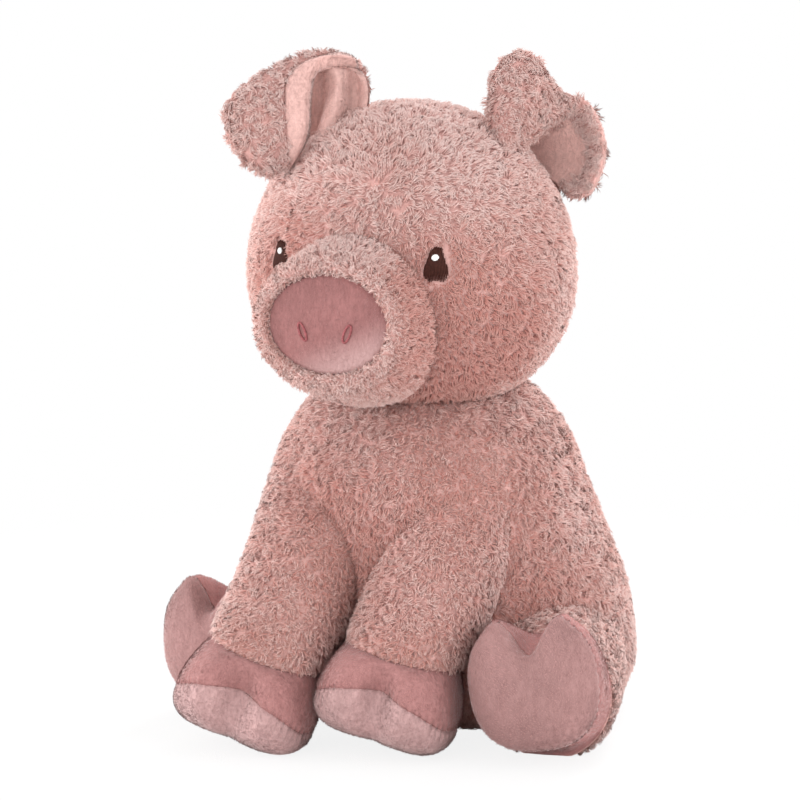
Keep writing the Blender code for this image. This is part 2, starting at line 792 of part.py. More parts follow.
def build_torso(pile, filling):
    opening = neck_opening_width / 2
    outer = torso_rings(opening=opening)
    inner = torso_rings(pile_wall, opening, pile_wall)
    add_piece("body_cover", shell_surface(outer, inner), pile)
    inset = pile_wall + filling_gap
    add_piece("body_stuffing", solid_surface(torso_rings(inset, floor=inset)), filling)


def tail_path(start):
    """A short run out from the rump, then a curl that climbs over itself."""
    points = []
    steps = 14
    for k in range(steps + 1):
        turn = 2 * math.pi * tail_turns_share * k / steps
        points.append(start + Vector((
            tail_pitch * k / steps,
            tail_curl_radius * (tail_lead_share + math.sin(turn)),
            tail_curl_radius * (1 - math.cos(turn)),
        )))
    return [start] + points[1:]


def gap_to_itself(path, radii):
    """The least gap between points of the tail that lie more than half a turn apart."""
    apart = round(len(path) / tail_turns_share / 2)
    return min(
        (path[i] - path[k]).length - radii[i] - radii[k]
        for i in range(len(path)) for k in range(i + apart, len(path))
    )


def build_tail(velboa):
    start = torso_back(tail_rise) + back_axis * (tail_radius + tail_standoff)
    carrier = joint_empty("tail_hinge", start)
    rings = [start - back_axis * tail_radius]
    for turn in (math.radians(60), math.radians(30)):
        place = start - back_axis * (tail_radius * math.sin(turn))
        rings.append(aimed_ring(place, back_axis, side_axis, tail_radius * math.cos(turn), filling_points))
    path = tail_path(start)
    last = len(path) - 1
    radii = [tail_radius * (1 - tail_taper_share * k / last) for k in range(len(path))]
    for k, point in enumerate(path):
        ahead = path[min(k + 1, last)] - path[max(k - 1, 0)]
        aim = back_axis if k == 0 else ahead.normalized()
        rings.append(aimed_ring(point, aim, side_axis, radii[k], filling_points))
    rings.append(path[-1] + (path[-1] - path[-2]).normalized() * (radii[-1] * 0.6))
    print("The tail's least gap to itself is", round(gap_to_itself(path, radii), 5), "m")
    add_piece("tail", solid_surface(rings), velboa, carrier)


def main():
    clear_scene()
    pile = cloth_material("Pile", pile_pink)
    velboa = cloth_material("Velboa", velboa_rose)
    snout = cloth_material("Snout velboa", snout_rose)
    lining = cloth_material("Lining velboa", lining_pink)
    filling = cloth_material("Stuffing", stuffing_white)
    brown = cloth_material("Eye thread", eye_brown, 0.6)
    white = cloth_material("Glint thread", glint_white, 0.6)
    rose = cloth_material("Nostril thread", nostril_rose, 0.7)
    neck = joint_empty("neck_hinge", neck_dome_centre)
    torso_cutter = add_piece("torso_clearance", solid_surface(torso_rings(-swing_gap, floor=-overrun)))
    head_cutter = add_piece("head_clearance", solid_surface(head_rings(fit_gap)))
    build_torso(pile, filling)
    build_head(neck, torso_cutter, head_cutter, pile, velboa, snout, filling, brown, white, rose)

    def swung_head_cutters(name, pivot, hinge_line):
        cutters = []
        for angle in (-ear_swing, 0.0, ear_swing):
            cutter = bpy.data.objects.new(name + "_head_clearance", head_cutter.data)
            there = Matrix.Translation(pivot)
            cutter.matrix_world = there @ Matrix.Rotation(angle, 4, hinge_line) @ there.inverted()
            cutter.hide_render = True
            cutter.display_type = "WIRE"
            bpy.context.collection.objects.link(cutter)
            cutters.append(cutter)
        return cutters

    build_ear("ear_left", ear_left_rows_shares, 1, 1, swung_head_cutters, pile, lining)
    build_ear("ear_right", ear_right_rows_shares, 2, -1, swung_head_cutters, pile, lining)
    legs = {
        "front_leg_left": front_leg(
            front_left_shoulder, front_left_elbow, front_left_hoof,
            front_left_heading, front_left_roll),
        "front_leg_right": front_leg(
            front_right_shoulder, front_right_elbow, front_right_hoof,
            front_right_heading, front_right_roll),
        "hind_leg_left": hind_leg(
            hind_left_hip, hind_left_hoof, hind_left_heading, hind_left_roll),
        "hind_leg_right": hind_leg(
            hind_right_hip, hind_right_hoof, hind_right_heading, hind_right_roll),
    }
    for name, limb in legs.items():
        build_leg(name, limb, torso_cutter, pile, velboa, filling)
    build_tail(velboa)


main()
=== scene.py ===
"""The sitting plush pig in its cloth: curly pile, with a short nap on hooves, soles, snout and ear linings.

The pig faces -Y and its own left is +X. Lengths are metres. Pile is closed strands and nap is closed
spikes, and both take their colours from the map OFBake: shade across it, and height from root to tip.
"""
import math

import bmesh
import bpy
import numpy as np
from mathutils import Matrix, Vector
from mathutils.bvhtree import BVHTree
from mathutils.kdtree import KDTree


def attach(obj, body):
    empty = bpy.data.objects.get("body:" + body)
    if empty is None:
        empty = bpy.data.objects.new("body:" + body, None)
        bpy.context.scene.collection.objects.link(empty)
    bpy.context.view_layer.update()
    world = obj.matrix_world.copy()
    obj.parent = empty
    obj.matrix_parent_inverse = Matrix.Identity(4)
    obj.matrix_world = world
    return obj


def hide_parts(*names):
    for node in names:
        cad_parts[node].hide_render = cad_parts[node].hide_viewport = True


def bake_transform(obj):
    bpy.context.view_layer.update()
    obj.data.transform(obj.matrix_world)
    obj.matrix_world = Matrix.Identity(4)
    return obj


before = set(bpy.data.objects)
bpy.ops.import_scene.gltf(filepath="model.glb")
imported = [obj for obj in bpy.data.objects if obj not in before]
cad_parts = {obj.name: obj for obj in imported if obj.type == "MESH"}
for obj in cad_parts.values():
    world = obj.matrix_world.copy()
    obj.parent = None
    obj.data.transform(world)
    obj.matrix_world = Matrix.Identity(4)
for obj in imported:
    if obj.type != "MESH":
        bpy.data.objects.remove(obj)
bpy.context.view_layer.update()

side_axis = np.array((1.0, 0.0, 0.0))
back_axis = np.array((0.0, 1.0, 0.0))
up_axis = np.array((0.0, 0.0, 1.0))

# Forms, as the frame has them
head_width = 0.1152
head_depth = 0.1000
head_height = 0.1064
head_centre = np.array((0.0, -0.0220, 0.1703))
head_fullness = 2.20
cheek_share = 0.10

muzzle_drop = 0.0175
muzzle_reach = 0.0690
muzzle_root_width = 0.0535
muzzle_root_height = 0.0600
muzzle_root_reach = 0.0300
snout_width = 0.0450
snout_height = 0.0342
snout_roll = 0.0045
roll_front_share, roll_inner_share = 0.45, 0.02
muzzle_back_share = 1.3
snout_inset = 0.0030
snout_dome = 0.0022
snout_plump = 0.0018  # the disc's cloth stands this far above its solid
nostril_length = 0.0064
nostril_width = 0.0022
nostril_spacing = 0.0168
nostril_drop = 0.0026
nostril_lean = math.radians(22)

eye_width = 0.0080
eye_height = 0.0122
eye_spacing = 0.0592
eye_rise = 0.0020
glint_width = 0.0024
glint_rise = 0.0024

ear_span = 0.0450
ear_table_turn = math.radians(25)

torso_height = 0.1360
torso_width = 0.1340
torso_depth = 0.1260
torso_seat_y = 0.0215
neck_dome_radius = 0.0562
neck_dome_centre = np.array((0.0, -0.0075, 0.0780))

floor_press = 0.0005
thigh_radius = 0.0260
front_leg = {
    "width": 0.0505, "length": 0.0530, "height": 0.0110, "setback": 0.0040, "sole_depth": 0.0200,
    "sag": 0.0090, "notch": 0.0045, "pitch": math.radians(4), "radii": (0.0220, 0.0210, 0.0195),
}
hind_leg = {
    "width": 0.0465, "length": 0.0475, "height": 0.0180, "setback": 0.0070, "sole_depth": 0.0110,
    "sag": 0.0, "notch": 0.0095, "pitch": math.radians(94),
    "radii": (thigh_radius, thigh_radius * 0.96, 0.0220),
}
hind_bend_share = 0.55
toe_notch_turn = math.radians(15)
hoof_squareness = 2.40
sole_fullness = 0.8
hoof_top_rise = 0.002

tail_radius = 0.0042
tail_standoff = 0.0011
tail_curl_radius = 0.0085
tail_rise = 0.0480
tail_pitch = 0.0110
tail_turns = 1.15
tail_lead = 0.80
tail_taper = 0.35

torso_profile = (
    (0.000, 0.62, 0.62),
    (0.022, 0.80, 0.80),
    (0.070, 0.92, 0.92),
    (0.150, 0.985, 0.985),
    (0.250, 1.000, 1.000),
    (0.360, 0.985, 0.985),
    (0.470, 0.928, 0.945),
    (0.580, 0.864, 0.915),
    (0.680, 0.806, 0.880),
)
muzzle_profile = ((0.0, 0.0), (0.25, 0.08), (0.47, 0.26), (0.66, 0.50), (0.82, 0.76), (0.94, 0.94))
ear_right_rows = (
    ((-0.36, 0.02, 1.04), (-0.68, 0.10, 0.88), (-0.96, 0.16, 0.70)),
    ((-0.33, -0.06, 1.31), (-0.62, -0.06, 1.29), (-0.90, 0.04, 1.12)),
    ((-0.43, -0.02, 1.48), (-0.70, 0.03, 1.58), (-0.97, 0.11, 1.45)),
    ((-0.76, 0.20, 1.44), (-1.09, 0.25, 1.38), (-1.39, 0.24, 1.24)),
    ((-0.82, 0.36, 0.98), (-1.15, 0.40, 1.00), (-1.43, 0.34, 0.98)),
    ((-0.94, 0.34, 0.74), (-1.12, 0.36, 0.66), (-1.27, 0.34, 0.78)),
)
ear_left_rows = (
    ((0.86, 0.26, 0.84), (0.74, 0.44, 0.84), (0.62, 0.40, 0.82)),
    ((0.86, 0.24, 0.88), (0.74, 0.42, 1.00), (0.61, 0.30, 1.10)),
    ((0.89, 0.20, 0.92), (0.83, 0.36, 1.18), (0.66, 0.18, 1.48)),
    ((0.94, 0.10, 0.96), (0.94, 0.24, 1.24), (0.88, 0.06, 1.59)),
    ((0.98, -0.08, 0.98), (1.10, 0.02, 1.14), (1.13, -0.06, 1.31)),
    ((0.95, -0.22, 0.94), (1.23, -0.12, 1.08), (1.40, -0.02, 1.19)),
    ((0.94, -0.30, 0.83), (1.29, -0.18, 0.86), (1.52, 0.06, 0.85)),
    ((0.99, -0.28, 0.71), (1.26, -0.12, 0.66), (1.41, 0.12, 0.52)),
    ((1.04, -0.18, 0.59), (1.16, -0.06, 0.54), (1.25, 0.06, 0.47)),
)

# Vector helpers


def unit(vectors):
    length = np.linalg.norm(vectors, axis=-1, keepdims=True)
    return vectors / np.maximum(length, 1e-9)


def power(value, exponent):
    return np.copysign(np.abs(value) ** exponent, value)


def smooth_step(value, low, high):
    share = np.clip((value - low) / (high - low), 0.0, 1.0)
    return share * share * (3 - 2 * share)


def smooth_run(points, steps):
    """Catmull-Rom samples through the given rows, with so many steps between each two."""
    points = np.asarray(points, float)
    run = []
    for k in range(len(points) - 1):
        before = points[max(k - 1, 0)]
        after = points[min(k + 2, len(points) - 1)]
        start, end = points[k], points[k + 1]
        for step in range(steps):
            s = step / steps
            run.append(0.5 * (
                2 * start + (end - before) * s
                + (2 * before - 5 * start + 4 * end - after) * s * s
                + (3 * start - before - 3 * end + after) * s ** 3
            ))
    run.append(points[-1])
    return np.array(run)


def aim_at(path, k):
    """The direction of a path at one of its points."""
    return unit(path[min(k + 1, len(path) - 1)] - path[max(k - 1, 0)])


def rotation(angle, axis):
    return np.array(Matrix.Rotation(angle, 3, axis))


def turns_of(count):
    """So many angles, evenly spread once round."""
    return np.arange(count) * (2 * math.pi / count)


def from_start(turn):
    """How far each angle is from the start of the round, with less than zero before it."""
    return np.remainder(turn + math.pi, 2 * math.pi) - math.pi


def ring(centre, across, along, half_across, half_along, count):
    turn = turns_of(count)
    side = np.outer(half_across * np.cos(turn), across)
    return np.asarray(centre) + side + np.outer(half_along * np.sin(turn), along)


def limb_ring(side, toes, centre, half_width, half_length, notch=0.0, squareness=2.0, count=96):
    """A squarish ring round a limb, with a notch between its toes."""
    turn = turns_of(count)
    across = half_width * power(np.sin(turn), 2 / squareness)
    ahead = half_length * power(np.cos(turn), 2 / squareness)
    off_centre = from_start(turn) / toe_notch_turn
    ahead = ahead - notch * np.exp(-off_centre * off_centre)
    return np.asarray(centre) + np.outer(across, side) + np.outer(ahead, toes)


# Meshes


def ring_mesh(name, rows, lowest=None):
    """A closed skin through rows of points; a row of one point closes an end."""
    vertices, starts, counts = [], [], []
    total = 0
    for row in rows:
        row = np.atleast_2d(row)
        starts.append(total)
        counts.append(len(row))
        vertices.append(row)
        total += len(row)
    faces = []
    for a in range(len(rows) - 1):
        near, far, n, m = starts[a], starts[a + 1], counts[a], counts[a + 1]
        count = max(n, m)
        for i in range(count):
            j = (i + 1) % count
            if n == 1:
                faces.append((near, far + i, far + j))
            elif m == 1:
                faces.append((near + i, near + j, far))
            else:
                faces.append((near + i, near + j, far + j, far + i))
    points = np.concatenate(vertices)
    if lowest is not None:
        points[:, 2] = np.maximum(points[:, 2], lowest)
    return outward_mesh(name, points, faces)


def outward_mesh(name, points, faces):
    mesh = bpy.data.meshes.new(name)
    mesh.from_pydata(points.tolist(), [], faces)
    bm = bmesh.new()
    bm.from_mesh(mesh)
    bmesh.ops.recalc_face_normals(bm, faces=bm.faces)
    bm.to_mesh(mesh)
    bm.free()
    mesh.shade_smooth()
    return mesh


def grid_cells(rows, columns):
    """Each cell of a grid: its row, its column and its four corners."""
    for j in range(rows - 1):
        for i in range(columns - 1):
            a = j * columns + i
            yield j, i, (a, a + 1, a + columns + 1, a + columns)


def closed_sheet(name, first, second):
    """A closed sheet between two grids of points, joined along their borders."""
    rows, columns = first.shape[:2]
    total = rows * columns
    faces = [tuple(layer + corner for corner in cell)
             for layer in (0, total) for _, _, cell in grid_cells(rows, columns)]
    border = [(0, i) for i in range(columns)]
    border += [(j, columns - 1) for j in range(1, rows)]
    border += [(rows - 1, i) for i in range(columns - 2, -1, -1)]
    border += [(j, 0) for j in range(rows - 2, 0, -1)]
    for (j, i), (n, m) in zip(border, border[1:] + border[:1]):
        a, b = j * columns + i, n * columns + m
        faces.append((a, b, b + total, a + total))
    return outward_mesh(name, np.concatenate([first.reshape(-1, 3), second.reshape(-1, 3)]), faces)


def many_mesh(name, points, facing, tone, faces, shifts, heights):
    """Many small closed forms of the same faces, with a map that gives each its shade and height."""
    count, corners = points.shape[:2]
    loops = np.concatenate(faces)
    sizes = np.tile([len(face) for face in faces], count)
    mesh = bpy.data.meshes.new(name)
    mesh.vertices.add(count * corners)
    mesh.vertices.foreach_set("co", points.ravel())
    mesh.loops.add(count * len(loops))
    all_loops = np.arange(count)[:, None] * corners + loops[None, :]
    mesh.loops.foreach_set("vertex_index", all_loops.ravel().astype(np.int32))
    mesh.polygons.add(len(sizes))
    mesh.polygons.foreach_set("loop_start", (np.cumsum(sizes) - sizes).astype(np.int32))
    mesh.update(calc_edges=True)
    spots = np.empty((count, len(loops), 2))
    spots[:, :, 0] = tone[:, None] + np.array(shifts)[loops]
    spots[:, :, 1] = np.array(heights)[loops]
    mesh.uv_layers.new(name="OFBake").data.foreach_set("uv", spots.ravel())
    mesh.shade_smooth()
    mesh.normals_split_custom_set_from_vertices(facing.reshape(-1, 3))
    return mesh


def mesh_points(mesh):
    points = np.empty(len(mesh.vertices) * 3)
    mesh.vertices.foreach_get("co", points)
    return points.reshape(-1, 3)


def mesh_normals(mesh):
    normals = np.empty(len(mesh.vertices) * 3)
    mesh.vertex_normals.foreach_get("vector", normals)
    return normals.reshape(-1, 3)


def mesh_area(mesh):
    areas = np.empty(len(mesh.polygons))
    mesh.polygons.foreach_get("area", areas)
    return areas.sum()


def add_object(name, mesh, material):
    thing = bpy.data.objects.new(name, mesh)
    bpy.context.collection.objects.link(thing)
    mesh.materials.clear()
    mesh.materials.append(material)
    return thing


def settle(thing, motion, slot, replaced=()):
    """Let a piece move with its body, or, given two bodies, leave it fixed where it stands; hide the parts
    it replaces. slot is not used.
    """
    if isinstance(motion, str):
        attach(thing, motion)
    else:
        tuple(motion[2])
        tuple(motion[3])
        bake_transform(thing)
    if replaced:
        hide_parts(*replaced)
    return thing


# Materials
full_white = (1.0, 1.0, 1.0)
# Painted light in the pile's colours: the roots are darkened as painted shade deep in the pile, and the
# tips are made paler as a painted sheen.
pile_root_painted_shade = (0.56, 0.275, 0.246)
pile_middle = (0.64, 0.410, 0.378)
pile_tip_painted_sheen = (0.745, 0.612, 0.585)
lock_deep = (0.72, 0.49, 0.45)
lock_middle = (0.93, 0.85, 0.83)
backing_rose = (0.56, 0.325, 0.297)
velboa_rose = (0.400, 0.196, 0.188)
sole_rose = (0.520, 0.330, 0.322)
hind_sole_rose = (0.345, 0.194, 0.186)
snout_rose = (0.288, 0.128, 0.124)
# Painted light and shade on the snout disc: darker at its top, paler towards its foot and the pig's left.
snout_lit_colour = (0.480, 0.306, 0.296)
lining_pink = (0.73, 0.462, 0.420)
eye_brown = (0.046, 0.014, 0.010)
glint_white = (0.80, 0.80, 0.78)
nostril_rose = (0.26, 0.080, 0.085)
velboa_tint = (1.0, 0.86, 0.84)
thread_tint = (1.0, 0.95, 0.90)
tuft_dark = (0.72, 0.68, 0.68)
nap_dark = (0.78, 0.76, 0.76)
nap_root = (0.80, 0.78, 0.78)
nap_stretch = (1.0, 1.0, 0.45)
pile_bump = 0.0006
velboa_bump = 0.0011
snout_light_top = 0.1500  # where the snout's painted light starts and where it is palest, up from the floor
snout_light_foot = 0.1320
snout_light_lean = 0.45  # and how much higher that is for each length to the pig's left


class Nodes:
    """Short calls for wiring a material's nodes."""

    def __init__(self, name):
        self.material = bpy.data.materials.new(name)
        self.material.use_nodes = True
        self.tree = self.material.node_tree
        self.shader = self.tree.nodes["Principled BSDF"]
        self.output = self.tree.nodes["Material Output"]

    def add(self, kind, **values):
        node = self.tree.nodes.new(kind)
        for key, value in values.items():
            if key in node.inputs:
                node.inputs[key].default_value = value
            else:
                setattr(node, key, value)
        return node

    def link(self, source, target):
        self.tree.links.new(source, target)

    def ramp(self, source, stops, mode="LINEAR"):
        node = self.tree.nodes.new("ShaderNodeValToRGB")
        node.color_ramp.interpolation = mode
        elements = node.color_ramp.elements
        while len(elements) < len(stops):
            elements.new(0.5)
        for element, (place, colour) in zip(elements, stops):
            element.position = place
            element.color = (*colour, 1.0)
        self.link(source, node.inputs["Fac"])
        return node.outputs["Color"]

    def mix(self, kind, factor, first, second):
        node = self.tree.nodes.new("ShaderNodeMix")
        node.data_type = "RGBA"
        node.blend_type = kind
        for socket, value in ((node.inputs[0], factor), (node.inputs[6], first), (node.inputs[7], second)):
            if isinstance(value, bpy.types.NodeSocket):
                self.link(value, socket)
            elif isinstance(value, tuple):
                socket.default_value = (*value, 1.0)
            else:
                socket.default_value = value
        return node.outputs[2]

    def noise(self, scale, detail=3.0, stretch=full_white):
        mapping = self.add("ShaderNodeMapping")
        mapping.inputs["Scale"].default_value = stretch
        self.link(self.object_place(), mapping.inputs["Vector"])
        node = self.add("ShaderNodeTexNoise", Scale=scale, Detail=detail, Roughness=0.6)
        self.link(mapping.outputs["Vector"], node.inputs["Vector"])
        return node.outputs["Fac"]

    def object_place(self):
        return self.add("ShaderNodeTexCoord").outputs["Object"]

    def split_place(self, place):
        split = self.add("ShaderNodeSeparateXYZ")
        self.link(place, split.inputs["Vector"])
        return split.outputs

    def strand_place(self):
        """Shade and height of strands and spikes, as the map gives them."""
        split = self.split_place(self.add("ShaderNodeUVMap", uv_map="OFBake").outputs["UV"])
        return split["X"], split["Y"]

    def bump(self, height, strength, distance):
        node = self.add("ShaderNodeBump", Strength=strength, Distance=distance)
        self.link(height, node.inputs["Height"])
        self.link(node.outputs["Normal"], self.shader.inputs["Normal"])

    def finish_with(self, colour, roughness, gloss=0.0, sheen=0.0, sheen_tint=full_white,
                    sheen_roughness=0.4):
        inputs = self.shader.inputs
        if isinstance(colour, bpy.types.NodeSocket):
            self.link(colour, inputs["Base Color"])
        else:
            inputs["Base Color"].default_value = (*colour, 1.0)
        inputs["Roughness"].default_value = roughness
        inputs["Specular IOR Level"].default_value = gloss
        inputs["Sheen Weight"].default_value = sheen
        inputs["Sheen Roughness"].default_value = sheen_roughness
        inputs["Sheen Tint"].default_value = (*sheen_tint, 1.0)
        return self.material


def shade(colour, factor):
    return tuple(min(c * factor, 1.0) for c in colour)


def pile_material():
    """Pile: darker at its roots, as painted shade deep in the pile, and pale at its tips, as a painted
    sheen; each lock a little different, and the same map also carries the painted front shade and the crown
    highlight.
    """
    n = Nodes("Pile")
    lock_place, height = n.strand_place()
    along = n.ramp(height, [(0.0, pile_root_painted_shade), (0.45, pile_middle), (1.0, pile_tip_painted_sheen)], "EASE")
    lock = n.ramp(lock_place, [(0.0, lock_deep), (0.5, lock_middle), (1.0, full_white)])
    return n.finish_with(n.mix("MULTIPLY", 1.0, along, lock), 0.9)


def backing_material():
    n = Nodes("Pile backing")
    colour = n.ramp(n.noise(420.0), [(0.3, shade(backing_rose, 0.85)), (0.7, shade(backing_rose, 1.2))])
    n.bump(n.noise(900.0, 2.0), 0.5, pile_bump)
    return n.finish_with(colour, 0.95)


def velboa_material(name, rose, sheen=0.60, painted_light_colour=None):
    """Smooth short pile: brushed patches, fine nap and a soft sheen; on the snout, painted light and shade
    run from a darker top to a paler foot.
    """
    n = Nodes(name)
    brushed = n.ramp(n.noise(55.0, 4.0), [(0.34, shade(rose, 0.90)), (0.66, shade(rose, 1.12))])
    tufts = n.ramp(n.noise(520.0, 3.0, nap_stretch), [(0.32, tuft_dark), (0.66, full_white)])
    nap = n.ramp(n.noise(1500.0, 3.0, nap_stretch), [(0.30, nap_dark), (0.66, full_white)])
    colour = n.mix("MULTIPLY", 0.55, n.mix("MULTIPLY", 0.55, brushed, tufts), nap)
    # Painted light on the snout disc: its foot paler.
    if painted_light_colour is not None:
        place = n.split_place(n.object_place())
        slope = n.add("ShaderNodeMath", operation="MULTIPLY_ADD")
        n.link(place["X"], slope.inputs[0])
        slope.inputs[1].default_value = -snout_light_lean
        n.link(place["Z"], slope.inputs[2])
        share = n.add("ShaderNodeMapRange", interpolation_type="SMOOTHSTEP")
        share.inputs["From Min"].default_value = snout_light_top
        share.inputs["From Max"].default_value = snout_light_foot
        n.link(slope.outputs["Value"], share.inputs["Value"])
        colour = n.mix("MIX", share.outputs["Result"], colour, n.mix("MULTIPLY", 0.5, painted_light_colour, nap))
    n.bump(n.noise(620.0, 4.0, nap_stretch), 0.55, velboa_bump)
    return n.finish_with(colour, 0.85, 0.2, sheen, velboa_tint, 0.35)


def nap_material(name, dark, pale):
    """Short fibres: a shade for each, and paler tips."""
    n = Nodes(name)
    shade_place, height_place = n.strand_place()
    shade_colour = n.ramp(shade_place, [(0.0, dark), (1.0, pale)])
    height = n.ramp(height_place, [(0.0, nap_root), (1.0, full_white)])
    return n.finish_with(n.mix("MULTIPLY", 1.0, shade_colour, height), 0.9)


def thread_material(name, colour, roughness):
    n = Nodes(name)
    tone = n.ramp(n.noise(1600.0, 2.0), [(0.3, shade(colour, 0.7)), (0.7, shade(colour, 1.35))])
    return n.finish_with(tone, roughness, 0.10, 0.02, thread_tint)


# Skins


def head_rows(grow, count=128, levels=80):
    half_height = head_height / 2 + grow
    rows = [head_centre - up_axis * half_height]
    for k in range(1, levels):
        polar = math.pi * k / levels
        rise = -math.cos(polar)
        girth = math.sin(polar) ** (2 / head_fullness)
        width = (head_width / 2 + grow) * girth * (1 - cheek_share * rise)
        depth = (head_depth / 2 + grow) * girth
        level = head_centre + up_axis * (half_height * rise)
        rows.append(ring(level, side_axis, back_axis, width, depth, count))
    rows.append(head_centre + up_axis * half_height)
    return rows


def head_front(across, rise, grow):
    level = rise / (head_height / 2)
    girth = (1 - level * level) ** (1 / head_fullness)
    width = (head_width / 2 + grow) * girth * (1 - cheek_share * level)
    depth = (head_depth / 2 + grow) * girth
    ahead = depth * math.sqrt(1 - (across / width) ** 2)
    return head_centre + side_axis * across - back_axis * ahead + up_axis * rise


def muzzle_axis_point(reach):
    return head_centre - back_axis * reach - up_axis * muzzle_drop


def muzzle_rows(inset, count=112):
    """The muzzle, with the soft roll that its pile cloth makes round the snout disc."""
    run = muzzle_reach - max(inset, 0.0) - muzzle_root_reach
    sections = []
    for along, closed in muzzle_profile:
        width = muzzle_root_width + (snout_width + 2 * snout_roll - muzzle_root_width) * closed
        height = muzzle_root_height + (snout_height + 2 * snout_roll - muzzle_root_height) * closed
        sections.append((width / 2 - inset, height / 2 - inset, muzzle_root_reach + run * along))
    front = muzzle_reach - max(inset, 0.0)
    for roll_share, reach in ((roll_front_share, front), (roll_inner_share, front - snout_inset)):
        roll = snout_roll * roll_share
        sections.append((snout_width / 2 + roll, snout_height / 2 + roll, reach))
    rows = [muzzle_axis_point(muzzle_root_reach)]
    for width, height, reach in smooth_run(sections, 6):
        rows.append(ring(muzzle_axis_point(reach), side_axis, up_axis, width, height, count))
    rows.append(muzzle_axis_point(front - snout_inset * muzzle_back_share))
    return rows


def torso_axis_y(height_share):
    lean = np.minimum(height_share / torso_profile[-1][0], 1.0)
    return torso_seat_y + (neck_dome_centre[1] - torso_seat_y) * lean


def torso_rows(inset, count=144):
    rows = [np.array((0.0, torso_seat_y, 0.0))]
    profile = []
    for height_share, width_share, depth_share in torso_profile:
        profile.append((height_share * torso_height, width_share * torso_width / 2 - inset,
                        depth_share * torso_depth / 2 - inset, torso_axis_y(height_share)))
    dome = neck_dome_radius - inset
    start = math.asin((profile[-1][0] - neck_dome_centre[2]) / dome)
    for k in range(1, 6):
        polar = start + (math.pi / 2 - start) * k / 6
        profile.append((neck_dome_centre[2] + dome * math.sin(polar), dome * math.cos(polar),
                        dome * math.cos(polar), neck_dome_centre[1]))
    for height, width, depth, centre_y in smooth_run(profile, 6):
        rows.append(ring((0.0, centre_y, height), side_axis, back_axis, width, depth, count))
    rows.append(neck_dome_centre + up_axis * dome)
    return rows


def hoof_directions(pitch, heading, roll):
    turn = rotation(heading, "Z") @ rotation(roll, "Y") @ rotation(-pitch, "X")
    return turn @ side_axis, turn @ -back_axis, turn @ -up_axis


toe_dent = 0.0044
toe_swell = 0.0016
toe_dent_turn = math.radians(11)
toe_swell_place = 2.1  # where the swelling is, in widths of the dent
toe_fade_share = 0.50
seam_depth = 0.0007
seam_stitches = 46
seam_width_share = 0.09


def toe_relief(count, share):
    """The dent between the two toes and the swelling beside it, which fade away from the seam."""
    off = from_start(turns_of(count)) / toe_dent_turn
    beside = np.exp(-(off - toe_swell_place) ** 2) + np.exp(-(off + toe_swell_place) ** 2)
    return (toe_swell * beside - toe_dent * np.exp(-off * off)) * math.exp(-(share / toe_fade_share) ** 2)


def seam_inset(share, count):
    """How far cloth is drawn in near a seam, a little deeper at each stitch."""
    stitches = 1 + 0.5 * np.cos(seam_stitches * turns_of(count))
    return seam_depth * math.exp(-(share / seam_width_share) ** 2) * stitches


def hoof_ring(limb, sink, girth, inset=0.0, count=120):
    side, toes, sole = limb["directions"]
    half_width = (limb["width"] / 2 - inset) * girth
    half_length = (limb["length"] / 2 - inset) * girth
    centre = limb["hoof"] + sole * sink
    notch = limb["notch"] * girth
    points = limb_ring(side, toes, centre, half_width, half_length, notch, hoof_squareness, count)
    return points + np.outer(limb["sag"] * girth * girth * np.sin(turns_of(count)) ** 2, sole)


def sole_rows(limb, steps=22, count=240):
    rows = [limb["hoof"]]
    for k in range(steps):
        share = k / steps
        turn = math.pi / 2 * share
        inset = seam_inset(share, count) - toe_relief(count, share)
        sink = limb["sole_depth"] * math.sin(turn)
        rows.append(hoof_ring(limb, sink, math.cos(turn) ** sole_fullness, inset, count))
    rows.append(limb["hoof"] + limb["directions"][2] * limb["sole_depth"])
    return rows


def ankle_centre(limb):
    _, toes, sole = limb["directions"]
    return limb["hoof"] - sole * limb["height"] - toes * limb["setback"]


def hoof_rows(limb, steps=26, count=240):
    side, toes, sole = limb["directions"]
    radius = limb["radii"][-1]
    rim = limb_ring(side, toes, ankle_centre(limb), radius, radius, count=count)
    rows = [ankle_centre(limb) - sole * hoof_top_rise]
    for k in range(steps + 1):
        share = k / steps
        turn = math.pi / 2 * (1 - share)
        closed = 1 - math.cos(turn)
        lift = sole * (limb["height"] * (closed - math.sin(turn)))
        inset = seam_inset(1 - share, count) - toe_relief(count, 1 - share)
        outline = hoof_ring(limb, 0.0, 1.0, inset, count)
        rows.append(outline + (rim - outline) * closed + lift)
    rows.append(limb["hoof"])
    return rows


def aimed_ring(centre, aim, side, radius, count):
    level = unit(side - aim * side.dot(aim))
    toes = np.cross(aim, level)
    return limb_ring(level, toes, centre, radius, radius, count=count)


def leg_rows(limb, inset, count=96, steps=16):
    side, _, sole = limb["directions"]
    start, middle = limb["root"], limb["bend"]
    path = smooth_run([start, middle, ankle_centre(limb)], steps)
    first = unit(middle - start)
    radii = smooth_run([(r,) for r in limb["radii"]], steps)[:, 0] - inset
    rows = [start - first * radii[0]]
    for turn in np.radians((80, 70, 60, 50, 40, 30, 20, 10)):
        centre = start - first * (radii[0] * math.sin(turn))
        rows.append(aimed_ring(centre, first, side, radii[0] * math.cos(turn), count))
    last = len(path) - 1
    for k in range(len(path)):
        share = k / last
        aim = unit(aim_at(path, k) * (1 - share * share) + sole * share * share)
        rows.append(aimed_ring(path[k], aim, side, radii[k], count))
    rows.append(path[-1])
    return rows


